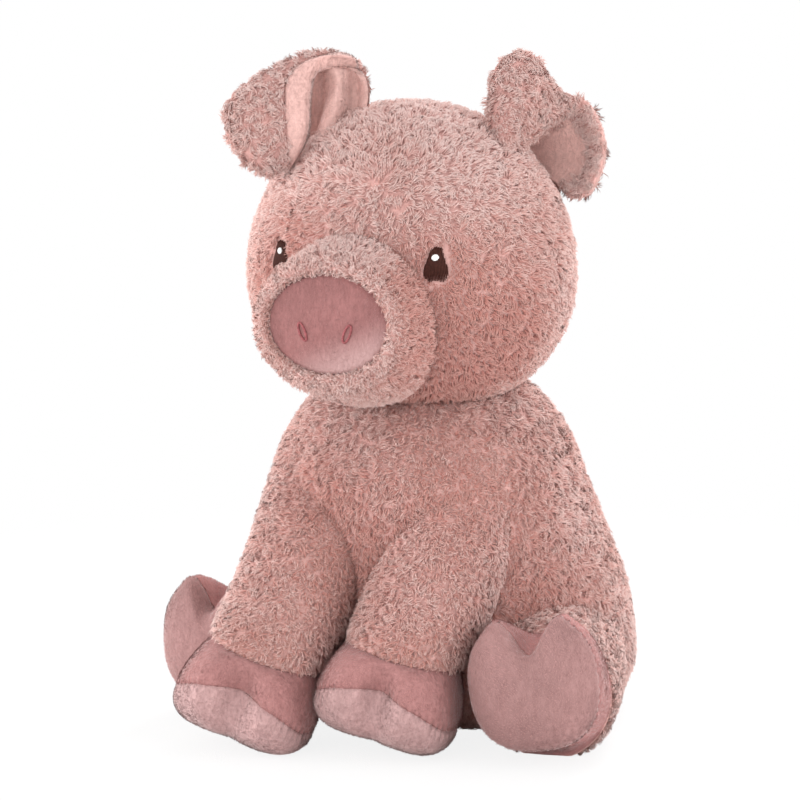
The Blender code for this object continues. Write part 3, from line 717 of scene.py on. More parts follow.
def make_leg(sizes, root, bend, hoof, heading, roll):
    """A leg with its places and directions, lowered until its hoof rests on the floor."""
    directions = hoof_directions(sizes["pitch"], math.radians(heading), math.radians(roll))
    limb = dict(sizes, root=np.array(root), hoof=np.array(hoof), directions=directions)
    rows = sole_rows(limb, 3, 20)[1:] + hoof_rows(limb, 3, 20)[1:-1]
    low = min(np.atleast_2d(row)[:, 2].min() for row in rows)
    limb["hoof"] = limb["hoof"] + up_axis * (limb["hoof"][2] - low - floor_press)
    if bend is None:
        limb["bend"] = limb["root"] + (ankle_centre(limb) - limb["root"]) * hind_bend_share
    else:
        limb["bend"] = np.array(bend)
    return limb


def table_point(shares):
    right, near, rise = (share * ear_span for share in shares)
    level = rotation(ear_table_turn, "Z") @ (side_axis * right - back_axis * near)
    return head_centre + level + up_axis * rise


def ear_grid(rows, along_steps, across_steps):
    table = np.array([[table_point(shares) for shares in row] for row in rows])
    along = np.stack([smooth_run(table[:, k], along_steps) for k in range(3)], axis=1)
    return np.stack([smooth_run(row, across_steps) for row in along])


def grid_normals(grid):
    along = np.gradient(grid, axis=0)
    across = np.gradient(grid, axis=1)
    return unit(np.cross(along, across))


# Pile and nap
pile_density = 2.80  # strands on each square millimetre
pile_length = 0.0040
strand_width = 0.000195
strand_sections = (1.0, 0.72)  # widths of a strand's two middle sections
strand_flatness = 0.55
strand_steps = (0.38, 0.34, 0.28)  # shares of its length between its four sections
strand_faces = [(0, 1 + (j + 1) % 3, 1 + j) for j in range(3)]
strand_faces += [(1 + j, 1 + (j + 1) % 3, 4 + (j + 1) % 3, 4 + j) for j in range(3)]
strand_faces += [(4 + j, 4 + (j + 1) % 3, 7) for j in range(3)]
strand_shifts = (0.0, -0.02, 0.0, 0.02, -0.02, 0.0, 0.02, 0.0)
strand_heights = (0.0, 0.36, 0.36, 0.36, 0.70, 0.70, 0.70, 1.0)
most_strands = 16600  # in one piece
strand_root_depth = 0.0006
strand_floor_gap = 0.0007
strand_size_range = (0.75, 1.15)
strand_girth_range = (0.75, 1.25)
strand_lean_spread = 0.30
tuft_width = 0.0022
tuft_size_range = (0.82, 1.18)
tuft_lean_spread = 0.70
tuft_gather = 0.22
gather_shares = np.array((0.15, 0.55, 1.0))
pressed_share = 0.70  # what another skin leaves of the pile's length
press_near, press_far = -0.001, 0.0045
least_press = 0.12  # shorter pile than this is left out
# Painted shade on the pile's front, which fades out between these heights, and a painted highlight on the
# crown, where the pile faces up.
painted_shade_front = unit(np.array((0.30, -0.95, -0.05)))
shade_fade_top, shade_fade_foot, shade_fade_drift = 0.212, 0.140, 0.006
crown_foot, crown_top, painted_crown_highlight = 0.150, 0.190, 0.16

nap_density = 3.2  # spikes on each square millimetre
nap_length = 0.0011
nap_width = 0.00017
nap_root_depth = 0.0002
nap_floor_gap = 0.0006
nap_start_height = 0.0015
nap_size_range = (0.7, 1.2)
nap_faces = ((0, 2, 1), (0, 1, 3), (1, 2, 3), (2, 0, 3))
nap_shifts = (-0.02, 0.0, 0.02, -0.02)
nap_heights = (0.0, 0.0, 0.0, 1.0)


def sample_mesh(mesh, flow, density, rng):
    """Random places on a mesh with their normals and flow, so many on each square millimetre."""
    mesh.calc_loop_triangles()
    corners = np.empty(len(mesh.loop_triangles) * 3, np.int32)
    mesh.loop_triangles.foreach_get("vertices", corners)
    corners = corners.reshape(-1, 3)
    points, normals = mesh_points(mesh), mesh_normals(mesh)
    a, b, c = (points[corners[:, k]] for k in range(3))
    areas = np.linalg.norm(np.cross(b - a, c - a), axis=1) / 2
    count = int(areas.sum() * 1e6 * density)
    chosen = rng.choice(len(corners), count, p=areas / areas.sum())
    u, v = rng.random(count), rng.random(count)
    flip = u + v > 1
    u[flip], v[flip] = 1 - u[flip], 1 - v[flip]
    weights = np.stack([1 - u - v, u, v], axis=1)[:, :, None]
    picked = corners[chosen]
    places = (points[picked] * weights).sum(axis=1)
    facing = unit((normals[picked] * weights).sum(axis=1))
    return places, facing, flow(places, facing)


def tangent(vectors, normals):
    return unit(vectors - normals * (vectors * normals).sum(axis=1, keepdims=True))


def lie_of(target):
    """Pile that runs along a direction, given as a vector or worked out from the places."""
    def flow(places, normals):
        aim = target(places) if callable(target) else np.broadcast_to(target, places.shape)
        return tangent(aim, normals)
    return flow


class Neighbour:
    """A skin that presses the pile of others where it comes near."""

    def __init__(self, mesh):
        points = mesh_points(mesh)
        self.low, self.high = points.min(axis=0), points.max(axis=0)
        self.tree = BVHTree.FromPolygons(points.tolist(), [tuple(f.vertices) for f in mesh.polygons])

    def outside(self, places, reach=0.008):
        """How far each place lies outside the skin, with less than zero inside."""
        out = np.full(len(places), reach)
        near = np.all((places > self.low - reach) & (places < self.high + reach), axis=1)
        for k in np.nonzero(near)[0]:
            place, normal, _, away = self.tree.find_nearest(places[k])
            inside = (Vector(places[k]) - place).dot(normal) < 0
            out[k] = -away if inside else min(away, reach)
        return out


def soft_noise(places, scale, seed):
    """A smooth wave field over space, about -1 to 1."""
    rng = np.random.default_rng(seed)
    total = np.zeros(len(places))
    for _ in range(7):
        direction = unit(rng.normal(size=3)) * scale * rng.uniform(0.6, 1.5)
        total += np.sin(places @ direction + rng.uniform(0, 2 * math.pi))
    return total / 3.2


def pile_press(places, neighbours, trim):
    """What other skins and the trim leave of the pile's length at each place."""
    press = np.ones(len(places))
    for other, deepest in neighbours:
        away = other.outside(places)
        free = smooth_step(away, press_near, press_far)
        press = np.minimum(press, pressed_share + (1 - pressed_share) * free)
        press[away < -deepest] = 0.0
    return press if trim is None else press * trim(places)


def gather_tufts(mesh, places, rng):
    """The centres of the tufts, and the nearest of them for each place."""
    wanted = max(int(mesh_area(mesh) / tuft_width ** 2), 4)
    centres = places[rng.choice(len(places), min(wanted, len(places)), replace=False)]
    tree = KDTree(len(centres))
    for k, centre in enumerate(centres):
        tree.insert(centre, k)
    tree.balance()
    return centres, np.array([tree.find(place)[1] for place in places])


def pile_tone(places, normals, tuft_shade, own_shade, painted_front_shade, painted_side_shade):
    """The shade of each strand, with painted shade deeper on the front and the sides where asked, and a
    painted highlight paler on the crown.
    """
    tone = 0.58 + 0.16 * tuft_shade + 0.11 * own_shade + 0.14 * soft_noise(places, 130.0, 7)
    below = smooth_step(places[:, 2] + shade_fade_drift * soft_noise(places, 60.0, 9), shade_fade_top, shade_fade_foot)
    tone -= painted_front_shade * smooth_step(normals @ painted_shade_front, 0.10, 0.95) * below
    tone -= painted_side_shade * smooth_step(np.abs(normals[:, 0]), 0.25, 0.90)
    crown = smooth_step(normals[:, 2], 0.20, 0.90) * smooth_step(places[:, 2], crown_foot, crown_top)
    return np.clip(tone + painted_crown_highlight * crown, 0.04, 0.96)


def grow_pile(name, mesh, flow, motion, seed, density=pile_density, length=pile_length, lean=1.0,
              neighbours=(), keep=None, trim=None, stand=None, painted_front_shade=0.0, painted_side_shade=0.0,
              roundness=0.50):
    """Curly locks of pile over a skin: closed tapered strands whose tips gather into tufts."""
    rng = np.random.default_rng(seed)
    places, normals, run = sample_mesh(mesh, flow, density, rng)
    used = np.ones(len(places), bool) if keep is None else keep(places)
    places, normals, run = places[used], normals[used], run[used]
    press = pile_press(places, neighbours, trim)
    used = press > least_press
    places, normals, run, press = places[used], normals[used], run[used], press[used]
    upright = np.zeros(len(places)) if stand is None else stand(places)
    centres, tuft = gather_tufts(mesh, places, rng)
    count, tufts = len(places), len(centres)
    tuft_lean = rng.normal(size=(tufts, 3))[tuft] * tuft_lean_spread
    tuft_curl = rng.uniform(-1.0, 1.0, tufts)[tuft]
    tuft_size = rng.uniform(*tuft_size_range, tufts)[tuft]
    tuft_shade = rng.uniform(-1.0, 1.0, tufts)[tuft]
    size = length * tuft_size * rng.uniform(*strand_size_range, count) * press
    combed = (lean * (1 - upright))[:, None]
    lay = tangent(run * combed + tuft_lean + rng.normal(size=(count, 3)) * strand_lean_spread, normals)
    cross = np.cross(normals, lay)
    steep = 1.15 - 0.30 * lean + rng.normal(size=count) * 0.12
    steep = np.clip(steep * (0.55 + 0.45 * press), 0.15, 1.3) + 0.7 * upright
    bend = (tuft_curl * 0.8 + rng.normal(size=count) * 0.35)[:, None]
    ways = (unit(normals * (steep * 1.5)[:, None] + lay * 0.55),
            unit(normals * steep[:, None] + lay + cross * bend * 0.7),
            unit(normals * (steep * 0.25)[:, None] + lay + cross * bend * 1.5))
    path = np.empty((count, 4, 3))
    path[:, 0] = places - normals * strand_root_depth
    for k, (way, step) in enumerate(zip(ways, strand_steps)):
        path[:, k + 1] = path[:, k] + way * (size * step)[:, None]
    sums, counts = np.zeros((tufts, 3)), np.zeros(tufts)
    np.add.at(sums, tuft, path[:, 3] - places)
    np.add.at(counts, tuft, 1.0)
    shared_tip = centres[tuft] + (sums / np.maximum(counts, 1.0)[:, None])[tuft]
    gather = tuft_gather * (shared_tip - path[:, 3])
    path[:, 1:] += gather[:, None, :] * gather_shares[None, :, None]
    path[:, :, 2] = np.maximum(path[:, :, 2], strand_floor_gap)
    tone = pile_tone(places, normals, tuft_shade, rng.normal(size=count), painted_front_shade, painted_side_shade)
    girth = strand_width * rng.uniform(*strand_girth_range, count) * (0.6 + 0.4 * press)
    for number, start in enumerate(range(0, count, most_strands)):
        some = slice(start, min(start + most_strands, count))
        strands = strand_mesh(name, path[some], girth[some], tone[some], normals[some], roundness)
        settle(add_object(f"{name}_{number + 1}", strands, pile), motion, "pile")


def strand_mesh(name, path, girth, tone, skin_normals, roundness):
    """Closed strands of three sides, shaded partly round and partly as the skin below them."""
    ahead = unit(np.gradient(path, axis=1))
    flank = unit(np.cross(skin_normals, path[:, 3] - path[:, 0]))[:, None, :]
    side = unit(flank - ahead * (ahead * flank).sum(axis=2, keepdims=True))
    over = np.cross(ahead, side)
    points = np.empty((len(path), 8, 3))
    facing = np.empty((len(path), 8, 3))
    points[:, 0] = path[:, 0]
    facing[:, 0] = skin_normals
    for k in (1, 2):
        radius = (girth * strand_sections[k - 1])[:, None]
        for j in range(3):
            at = 3 * k - 2 + j
            turn = math.pi / 2 + 2 * math.pi * j / 3
            points[:, at] = path[:, k] + radius * (
                side[:, k] * math.cos(turn) + over[:, k] * math.sin(turn) * strand_flatness)
            facing[:, at] = unit(points[:, at] - path[:, k]) * roundness + skin_normals * (1 - roundness)
    points[:, 7] = path[:, 3]
    facing[:, 7] = ahead[:, 3] * roundness + skin_normals * (1 - roundness)
    return many_mesh(name, points, unit(facing), tone, strand_faces, strand_shifts, strand_heights)


def grow_nap(name, mesh, flow, motion, material, slot, seed, painted_shading_of=None, keep=None, length=nap_length):
    """Short brushed fibres over a smooth cloth: closed spikes with a map of shade and height."""
    rng = np.random.default_rng(seed)
    places, normals, run = sample_mesh(mesh, flow, nap_density, rng)
    used = places[:, 2] > nap_start_height
    if keep is not None:
        used &= keep(places)
    places, normals, run = places[used], normals[used], run[used]
    count = len(places)
    brushed = soft_noise(places, 260.0, seed)[:, None]
    own_lay = rng.normal(size=(count, 3)) * 0.35
    lay = tangent(run + np.cross(normals, run) * brushed * 0.8 + own_lay, normals)
    ahead = unit(normals * (0.75 + 0.15 * rng.normal(size=count))[:, None] + lay)
    side = unit(np.cross(normals, lay))
    size = (length * rng.uniform(*nap_size_range, count))[:, None]
    root = places - normals * nap_root_depth
    points = np.empty((count, 4, 3))
    points[:, 0] = root - side * nap_width
    points[:, 1] = root + side * nap_width
    points[:, 2] = root - lay * nap_width * 1.2
    points[:, 3] = root + ahead * size
    points[:, :, 2] = np.maximum(points[:, :, 2], nap_floor_gap)
    facing = np.repeat(normals[:, None, :], 4, axis=1)
    facing[:, 3] = unit(normals + ahead * 0.6)
    tone = 0.5 + 0.22 * rng.normal(size=count) + 0.10 * soft_noise(places, 300.0, seed + 1)
    # Painted shading, where given, sets most of the tone: shade in the toe dents, light on the snout.
    if painted_shading_of is not None:
        tone = tone * 0.35 + painted_shading_of(places) * 0.65
    tone = np.clip(tone, 0.03, 0.97)
    spikes = many_mesh(name, points, facing, tone, nap_faces, nap_shifts, nap_heights)
    settle(add_object(name, spikes, material), motion, slot)


# Stitches
stitch_sides = 8
eye_threads = 17
eye_thread_overlap = 1.35
eye_thread_height = 0.0009
eye_thread_jitter = 0.0002
eye_bulge = 0.0006
eye_lift = 0.0012
glint_foot, glint_top, glint_sink = 0.0018, 0.0026, 0.0005


def thread_rows(path, out, width, height):
    """One stitch: a run of flat round sections along a path, sunk at its ends."""
    rows = [path[0]]
    last = len(path) - 1
    for k in range(len(path)):
        across = unit(np.cross(aim_at(path, k), out))
        share = k / last
        full = math.sin(math.pi * min(max(share, 0.06), 0.94)) ** 0.35
        rows.append(ring(path[k], across, out, width / 2 * full, height / 2 * full, stitch_sides))
    rows.append(path[-1])
    return rows


def joined_mesh(name, runs):
    """One mesh of several closed runs of rings."""
    bm = bmesh.new()
    for rows in runs:
        part = ring_mesh("run", rows)
        bm.from_mesh(part)
        bpy.data.meshes.remove(part)
    mesh = bpy.data.meshes.new(name)
    bm.to_mesh(mesh)
    bm.free()
    mesh.shade_smooth()
    return mesh


def eye_mesh(sign):
    """A satin-stitched eye: threads side by side, narrow at the top and scalloped at the foot."""
    rng = np.random.default_rng(31 + sign)
    runs = []
    for i in range(eye_threads):
        across = -1 + 2 * (i + 0.5) / eye_threads
        beside = abs(across)
        top = eye_height / 2 * (1 - 0.16 * beside - 0.95 * max(beside - 0.62, 0.0) / 0.38)
        scallop = 0.10 * abs(math.cos(across * math.pi * 1.05))
        foot = -eye_height / 2 * (1 - scallop - 0.35 * beside ** 6)
        top += rng.uniform(-eye_thread_jitter, eye_thread_jitter)
        foot += rng.uniform(-eye_thread_jitter, eye_thread_jitter)
        path = []
        for share in np.arange(11) / 10:
            rise = foot + (top - foot) * share
            half = eye_width / 2 * (1.0 - 0.30 * smooth_step(rise, -eye_height / 2, eye_height / 2))
            lift = eye_lift + eye_bulge * (1 - across * across) * math.sin(math.pi * share)
            path.append(head_front(sign * eye_spacing / 2 + half * across, eye_rise + rise, lift))
        path = np.array(path)
        out = unit(path[5] - head_centre)
        runs.append(thread_rows(path, out, eye_width / eye_threads * eye_thread_overlap, eye_thread_height))
    return joined_mesh("eye", runs)


def glint_mesh(sign, rings=6):
    """A round pad of thread in an eye."""
    turn = turns_of(16)
    middle = np.array((sign * eye_spacing / 2, eye_rise + glint_rise))
    outline = middle + glint_width / 2 * np.stack([np.cos(turn), np.sin(turn)], axis=1)

    def level(share, height):
        return np.array([head_front(*(middle + (point - middle) * share), height) for point in outline])

    rows = [head_front(*middle, glint_top)]
    for share in np.arange(1, rings + 1) / rings:
        dome = math.sqrt(max(1 - share ** 2.5, 0.0))
        rows.append(level(share, glint_foot + (glint_top - glint_foot) * dome))
    rows.append(level(0.9, glint_foot - glint_sink))
    rows.append(head_front(*middle, glint_foot - glint_sink))
    return ring_mesh("glint", rows)


def snout_surface(across, rise, height):
    out = (2 * across / snout_width) ** 2 + (2 * rise / snout_height) ** 2
    reach = muzzle_reach - snout_inset + snout_plump + snout_dome * (1 - out) + height
    return muzzle_axis_point(reach) + side_axis * across + up_axis * rise


# Cloths
pile = pile_material()
backing = backing_material()
hoof_cloth = velboa_material("Hoof velboa", velboa_rose)
sole_cloth = velboa_material("Sole velboa", sole_rose)
hind_sole_cloth = velboa_material("Hind sole velboa", hind_sole_rose)
snout_cloth = velboa_material("Snout velboa", snout_rose, sheen=0.35, painted_light_colour=snout_lit_colour)
lining_cloth = velboa_material("Ear lining velboa", lining_pink)
tail_cloth = velboa_material("Tail velboa", velboa_rose)
hoof_nap = nap_material("Hoof nap", shade(velboa_rose, 0.58), shade(velboa_rose, 1.92))
sole_nap = nap_material("Sole nap", shade(sole_rose, 0.62), shade(sole_rose, 1.58))
hind_sole_nap = nap_material("Hind sole nap", shade(hind_sole_rose, 0.66), shade(hind_sole_rose, 1.92))
lining_nap = nap_material("Lining nap", shade(lining_pink, 0.78), shade(lining_pink, 1.15))
snout_nap = nap_material("Snout nap", snout_rose, shade(snout_lit_colour, 1.20))
eye_thread = thread_material("Eye thread", eye_brown, 0.55)
glint_thread = thread_material("Glint thread", glint_white, 0.5)
nostril_thread = thread_material("Nostril thread", nostril_rose, 0.6)

thigh_rise = thigh_radius - floor_press
legs = {
    "front_leg_left": make_leg(
        front_leg, (0.0240, -0.0290, 0.0900), (0.0220, -0.0470, 0.0600), (0.0134, -0.0655, 0.0022), 8, 14),
    "front_leg_right": make_leg(
        front_leg, (-0.0260, -0.0290, 0.0900), (-0.0260, -0.0540, 0.0600), (-0.0347, -0.0785, 0.0), 11, 19),
    "hind_leg_left": make_leg(
        hind_leg, (0.0415, 0.0060, thigh_rise), None, (0.0650, -0.0620, 0.0), 10, -8),
    "hind_leg_right": make_leg(
        hind_leg, (-0.0440, 0.0040, thigh_rise), None, (-0.0662, -0.0446, 0.0), -6, -3),
}
skin_inset = -0.0004
floor_gap = 0.0005
pile_start_height = 0.0012
skins = {
    "torso": ring_mesh("torso_backing", torso_rows(skin_inset), floor_gap),
    "head": ring_mesh("head_backing", head_rows(-skin_inset)),
    "muzzle": ring_mesh("muzzle_backing", muzzle_rows(skin_inset)),
}
hoof_meshes, sole_meshes = {}, {}
for name, limb in legs.items():
    skins[name] = ring_mesh(name + "_backing", leg_rows(limb, skin_inset), floor_gap)
    hoof_meshes[name] = ring_mesh(name + "_hoof_cloth", hoof_rows(limb), floor_gap)
    sole_meshes[name] = ring_mesh(name + "_sole_cloth", sole_rows(limb), floor_gap)
near = {name: Neighbour(mesh) for name, mesh in skins.items()}
near_hooves = {name: Neighbour(mesh) for name, mesh in hoof_meshes.items()}


def above_floor(places):
    return places[:, 2] > pile_start_height


# Torso, head and muzzle
brow_whorl = head_centre + np.array((0.006, -0.047, 0.030))
brow_fall_top, brow_fall_foot = 0.215, 0.165
eye_clearing = 0.0006
neck_hidden_depth = 0.006
head_press_depth = 0.004  # how deep in the head's skin the torso's pile still starts
front_leg_press_depth = 0.010
hind_leg_press_depth = 0.018
head_in_muzzle_depth = 0.003  # and the head's pile in the other two skins
head_in_torso_depth = 0.005
in_head_depth = 0.003  # and the muzzle's and the ears' pile in the head's
snout_front = muzzle_axis_point(muzzle_reach)[1]
snout_roll_depth = 0.006
muzzle_whorl_depth = 0.004
muzzle_rim_length = 0.0030
near_head = (near["head"], in_head_depth)


def head_lie(places):
    """The pile fans out from a whorl on the brow, down the cheeks and back over the crown."""
    away = unit(places - brow_whorl)
    down = np.array((0.0, 0.25, -0.55))
    return away + down * smooth_step(places[:, 2], brow_fall_top, brow_fall_foot)[:, None]


def muzzle_lie(places):
    return unit(places - muzzle_axis_point(muzzle_reach - muzzle_whorl_depth)) + np.array((0.0, 0.35, 0.0))


def eye_trim(places):
    """The pile is short and parted round the eyes."""
    keep = np.ones(len(places))
    for sign in (1, -1):
        off = places - head_front(sign * eye_spacing / 2, eye_rise, 0.0)
        across = np.hypot(off[:, 0], off[:, 1]) / (eye_width / 2 + eye_clearing)
        out = np.hypot(across, off[:, 2] / (eye_height / 2 + eye_clearing))
        keep = np.minimum(keep, smooth_step(out, 0.98, 1.5) * 0.45 + 0.55 * (out > 0.98))
    return keep


def above_neck(places):
    """Leave out the pile of the head's underside that the neck always hides."""
    return np.linalg.norm(places - neck_dome_centre, axis=1) > neck_dome_radius - neck_hidden_depth


def snout_out(places):
    """How far places lie from the middle of the snout disc, with 1 at its edge."""
    across = places[:, 0] / (snout_width / 2)
    rise = (places[:, 2] - (head_centre[2] - muzzle_drop)) / (snout_height / 2)
    return np.hypot(across, rise)


def muzzle_trim(places):
    """The pile ends at the seam of the snout disc and is shorter on the roll round it."""
    out = snout_out(places)
    near_front = places[:, 1] < snout_front + snout_roll_depth
    return np.where(near_front, smooth_step(out, 1.00, 1.40) * 0.30 + 0.70 * (out > 0.985), 1.0)


def muzzle_stand(places):
    """The pile stands up on the roll round the snout disc."""
    behind = (places[:, 1] - snout_front) / snout_roll_depth
    near_front = smooth_step(behind, 1.5, 0.5)
    return near_front * smooth_step(snout_out(places), 1.70, 1.20)


def near_rim(places):
    """The band of the muzzle next to the seam of the snout disc."""
    return (places[:, 1] < snout_front + snout_roll_depth) & (snout_out(places) < 1.32)


for skin, body, replaced in (
        ("torso", "torso", ["body_cover", "body_stuffing"]),
        ("head", "head", ["head_cover", "head_stuffing"]),
        ("muzzle", "head", ["muzzle_cover"])):
    settle(add_object(skin + "_backing", skins[skin], backing), body, "pile", replaced)

torso_others = [(near["head"], head_press_depth), (near["muzzle"], head_press_depth)]
for name in legs:
    depth = front_leg_press_depth if name.startswith("front") else hind_leg_press_depth
    torso_others.append((near[name], depth))
# Painted shade on the pile: on the front of the torso and head, and on the muzzle's sides.
grow_pile("torso_pile", skins["torso"], lie_of(np.array((0.0, -0.12, -1.0))), "torso", 11,
          neighbours=torso_others, lean=0.75, painted_front_shade=0.52, keep=above_floor)
grow_pile("head_pile", skins["head"], lie_of(head_lie), "head", 12, keep=above_neck, trim=eye_trim,
          neighbours=[(near["muzzle"], head_in_muzzle_depth), (near["torso"], head_in_torso_depth)],
          painted_front_shade=0.95)
grow_pile("muzzle_pile", skins["muzzle"], lie_of(muzzle_lie), "head", 13, density=3.4,
          trim=muzzle_trim, stand=muzzle_stand, neighbours=[near_head], painted_side_shade=0.42)
grow_pile("muzzle_rim_pile", skins["muzzle"], lie_of(muzzle_lie), "head", 14, density=3.6,
          length=muzzle_rim_length, keep=near_rim, trim=muzzle_trim,
          stand=lambda places: 0.35 * muzzle_stand(places), painted_side_shade=0.30)

# Legs
# Painted shade in the dent between a hoof's two toes, on the nap of hoof and sole.
toe_painted_shade_width = 0.0042
hoof_tone, toe_dent_painted_shade = 0.56, 0.62
ankle_pile_end = 0.0004
leg_in_torso_depths = {"front": 0.007, "hind": 0.014}
sole_looks = {"front": (sole_cloth, sole_nap), "hind": (hind_sole_cloth, hind_sole_nap)}
leg_in_hoof_depth = 0.002


def toe_painted_shade(limb):
    """How pale the nap of a hoof is, with painted shade darkening it in the dent between its two toes."""
    side, toes, _ = limb["directions"]
    half_length = limb["length"] / 2

    def shade_at(places):
        off = places - limb["hoof"]
        ahead = smooth_step(off @ toes, 0.50 * half_length, 0.85 * half_length)
        return hoof_tone - toe_dent_painted_shade * ahead * np.exp(-(off @ side / toe_painted_shade_width) ** 2)
    return shade_at


def leg_motion(name, limb):
    """The torso and the leg, with two points from the leg's root towards its bend, for each leg's cloth and
    pile.
    """
    root, bend = limb["root"], limb["bend"]
    if name.startswith("front"):
        return "torso", name, root + (bend - root) * 0.15, bend
    return "torso", name, root, root + (bend - root) * 0.9


def build_leg(number, name, limb):
    motion = leg_motion(name, limb)
    end = name.split("_")[0]
    _, toes, sole = limb["directions"]
    rim = ankle_centre(limb)
    settle(add_object(name + "_backing", skins[name], backing), motion, "pile",
           [name + "_cover", name + "_stuffing"])
    feet = ((name + "_hoof", hoof_meshes[name], hoof_cloth, hoof_nap, 70 + number),
            (name + "_sole", sole_meshes[name], *sole_looks[end], 80 + number))
    for foot, mesh, cloth, _, _ in feet:
        settle(add_object(foot + "_cloth", mesh, cloth), name, "velboa", [foot])
    for foot, mesh, _, nap, seed in feet:
        grow_nap(foot + "_nap", mesh, lie_of(toes), name, nap, "velboa", seed, painted_shading_of=toe_painted_shade(limb))
    # Painted shade on the front of the leg's pile.
    grow_pile(name + "_pile", skins[name], lie_of(unit(limb["hoof"] - limb["root"])), motion, 20 + number,
              lean=0.7, painted_front_shade=0.38,
              keep=lambda places: ((places - rim) @ sole < -ankle_pile_end) & above_floor(places),
              neighbours=[(near["torso"], leg_in_torso_depths[end]),
                          (near_hooves[name], leg_in_hoof_depth)])


for number, (name, limb) in enumerate(legs.items()):
    build_leg(number, name, limb)

# Ears: two layers of cloth along each strip, with the lining turned over one edge of the fold
ear_wall = 0.0022
lining_wall = 0.0012
ear_pile_length, ear_rim_length = 0.0042, 0.0036
layer_gap = 0.0001
pile_cloth_sink = 0.0008  # how far under the outer face of the ear its cloth ends
pile_skin_sink = 0.0012  # and how far under it the pile grows out
far_skin_sink = 0.0004
far_pile_row = 4.2  # the row past which the left ear's lining side has pile too
rim_slant = 0.0026
turned_top_sink, turned_foot_sink = 0.0006, 0.0016
turned_edge_out, turned_edge_in = 0.0012, 0.0002
turned_columns = 25
turned_pile_overlap = 0.02  # the share of a row where pile runs under the turned lining's edge
ear_along = 6
ear_across = 20
right_roll_height, right_fold_height = 0.0072, 0.0034
left_plump_height, right_plump_height = 0.0006, 0.0030


def layer_mesh(points, faces):
    layer = bpy.data.meshes.new("ear_layer")
    layer.from_pydata(points.tolist(), [], faces)
    layer.update()
    return layer


def grid_layer(points, flipped, chosen):
    """The chosen cells of a grid, as a skin that pile grows out of."""
    rows, columns = points.shape[:2]
    faces = [face[::-1] if flipped else face for j, i, face in grid_cells(rows, columns)
             if chosen(j / ear_along, i / (columns - 1))]
    return layer_mesh(points.reshape(-1, 3), faces)


def rim_mesh(grid, normals, height, skipped):
    """The slanted edge of a strip, which pile grows out of where no lining is turned over it."""
    rows, columns = grid.shape[:2]
    border = [(j, columns - 1) for j in range(rows)]
    border += [(rows - 1, i) for i in range(columns - 2, -1, -1)]
    border += [(j, 0) for j in range(rows - 2, -1, -1)]
    low = np.array([grid[place] for place in border])
    inner = [(min(max(j, 1), rows - 2), min(max(i, 1), columns - 2)) for j, i in border]
    inward = unit(np.array([grid[a] - grid[b] for a, b in zip(inner, border)]))
    high = low + inward * rim_slant + np.array([normals[place] for place in border]) * height
    total = len(border)
    faces = []
    for k in range(total - 1):
        j, i = border[k]
        if skipped(j / ear_along, i / (columns - 1)):
            continue
        outward = np.cross(low[k + 1] - low[k], high[k] - low[k]).dot(inward[k]) < 0
        face = (k, k + 1, k + 1 + total, k + total)
        faces.append(face if outward else face[::-1])
    return layer_mesh(np.concatenate([low, high]), faces)


def turned_lining(name, grid, normals, turned):
    """Lining cloth that comes over the edge of a strip and lies on its pile side, from row to row."""
    rows, columns = grid.shape[:2]
    low_row, high_row = int(turned["first"] * ear_along), min(int(turned["last"] * ear_along), rows - 1)
    top, bottom = [], []
    for j in range(low_row, high_row + 1):
        share = (j - low_row) / (high_row - low_row)
        width = turned["reach"](share) * (columns - 1)
        outer, edge = grid[j, 0], unit(grid[j, 0] - grid[j, 1])
        top.append([outer + edge * turned_edge_out])
        bottom.append([outer + edge * turned_edge_in])
        for u in np.linspace(0.0, 1.0, turned_columns):
            i = min(int(u * width), columns - 2)
            f = u * width - i
            point = grid[j, i] * (1 - f) + grid[j, i + 1] * f
            normal = unit(normals[j, i] * (1 - f) + normals[j, i + 1] * f) * turned["back_sign"]
            swell = turned["plump"](share) * math.sin(math.pi * min(max(u, 0.02), 0.98)) ** 0.6
            top[-1].append(point + normal * (ear_wall - turned_top_sink + swell))
            bottom[-1].append(point + normal * (ear_wall - turned_foot_sink))
    return closed_sheet(name, np.array(top), np.array(bottom))


def ear_left_reach(share):
    return float(np.interp(share, (0.0, 0.15, 0.40, 0.70, 1.0), (0.22, 0.52, 0.72, 0.72, 0.62)))


def ear_right_reach(share):
    return float(np.interp(share, (0.0, 0.25, 0.60, 1.0), (0.36, 0.32, 0.27, 0.14)))


def right_plump(share):
    return right_plump_height * math.sin(math.pi * min(share + 0.12, 1.0)) ** 0.5


def right_rolls(along, across):
    """How far the lining of the right ear stands up in its lengthwise roll and beside its fold."""
    roll = max(1 - abs((across - 0.46) / 0.17) ** 2.4, 0.0)
    fold = max(1 - abs((across - 0.04) / 0.14) ** 2.6, 0.0)
    return (right_roll_height * roll + right_fold_height * fold) * smooth_step(along, 2.0, 1.4)


ears = {
    "left": {
        "rows": ear_left_rows, "back_sign": 1, "seed": 41, "first": 4.35, "last": 8.0,
        "reach": ear_left_reach, "plump": lambda share: left_plump_height,
        "rolls": lambda along, across: 0.0,
    },
    "right": {
        "rows": ear_right_rows, "back_sign": -1, "seed": 42, "first": 2.15, "last": 5.0,
        "reach": ear_right_reach, "plump": right_plump,
        "rolls": right_rolls,
    },
}


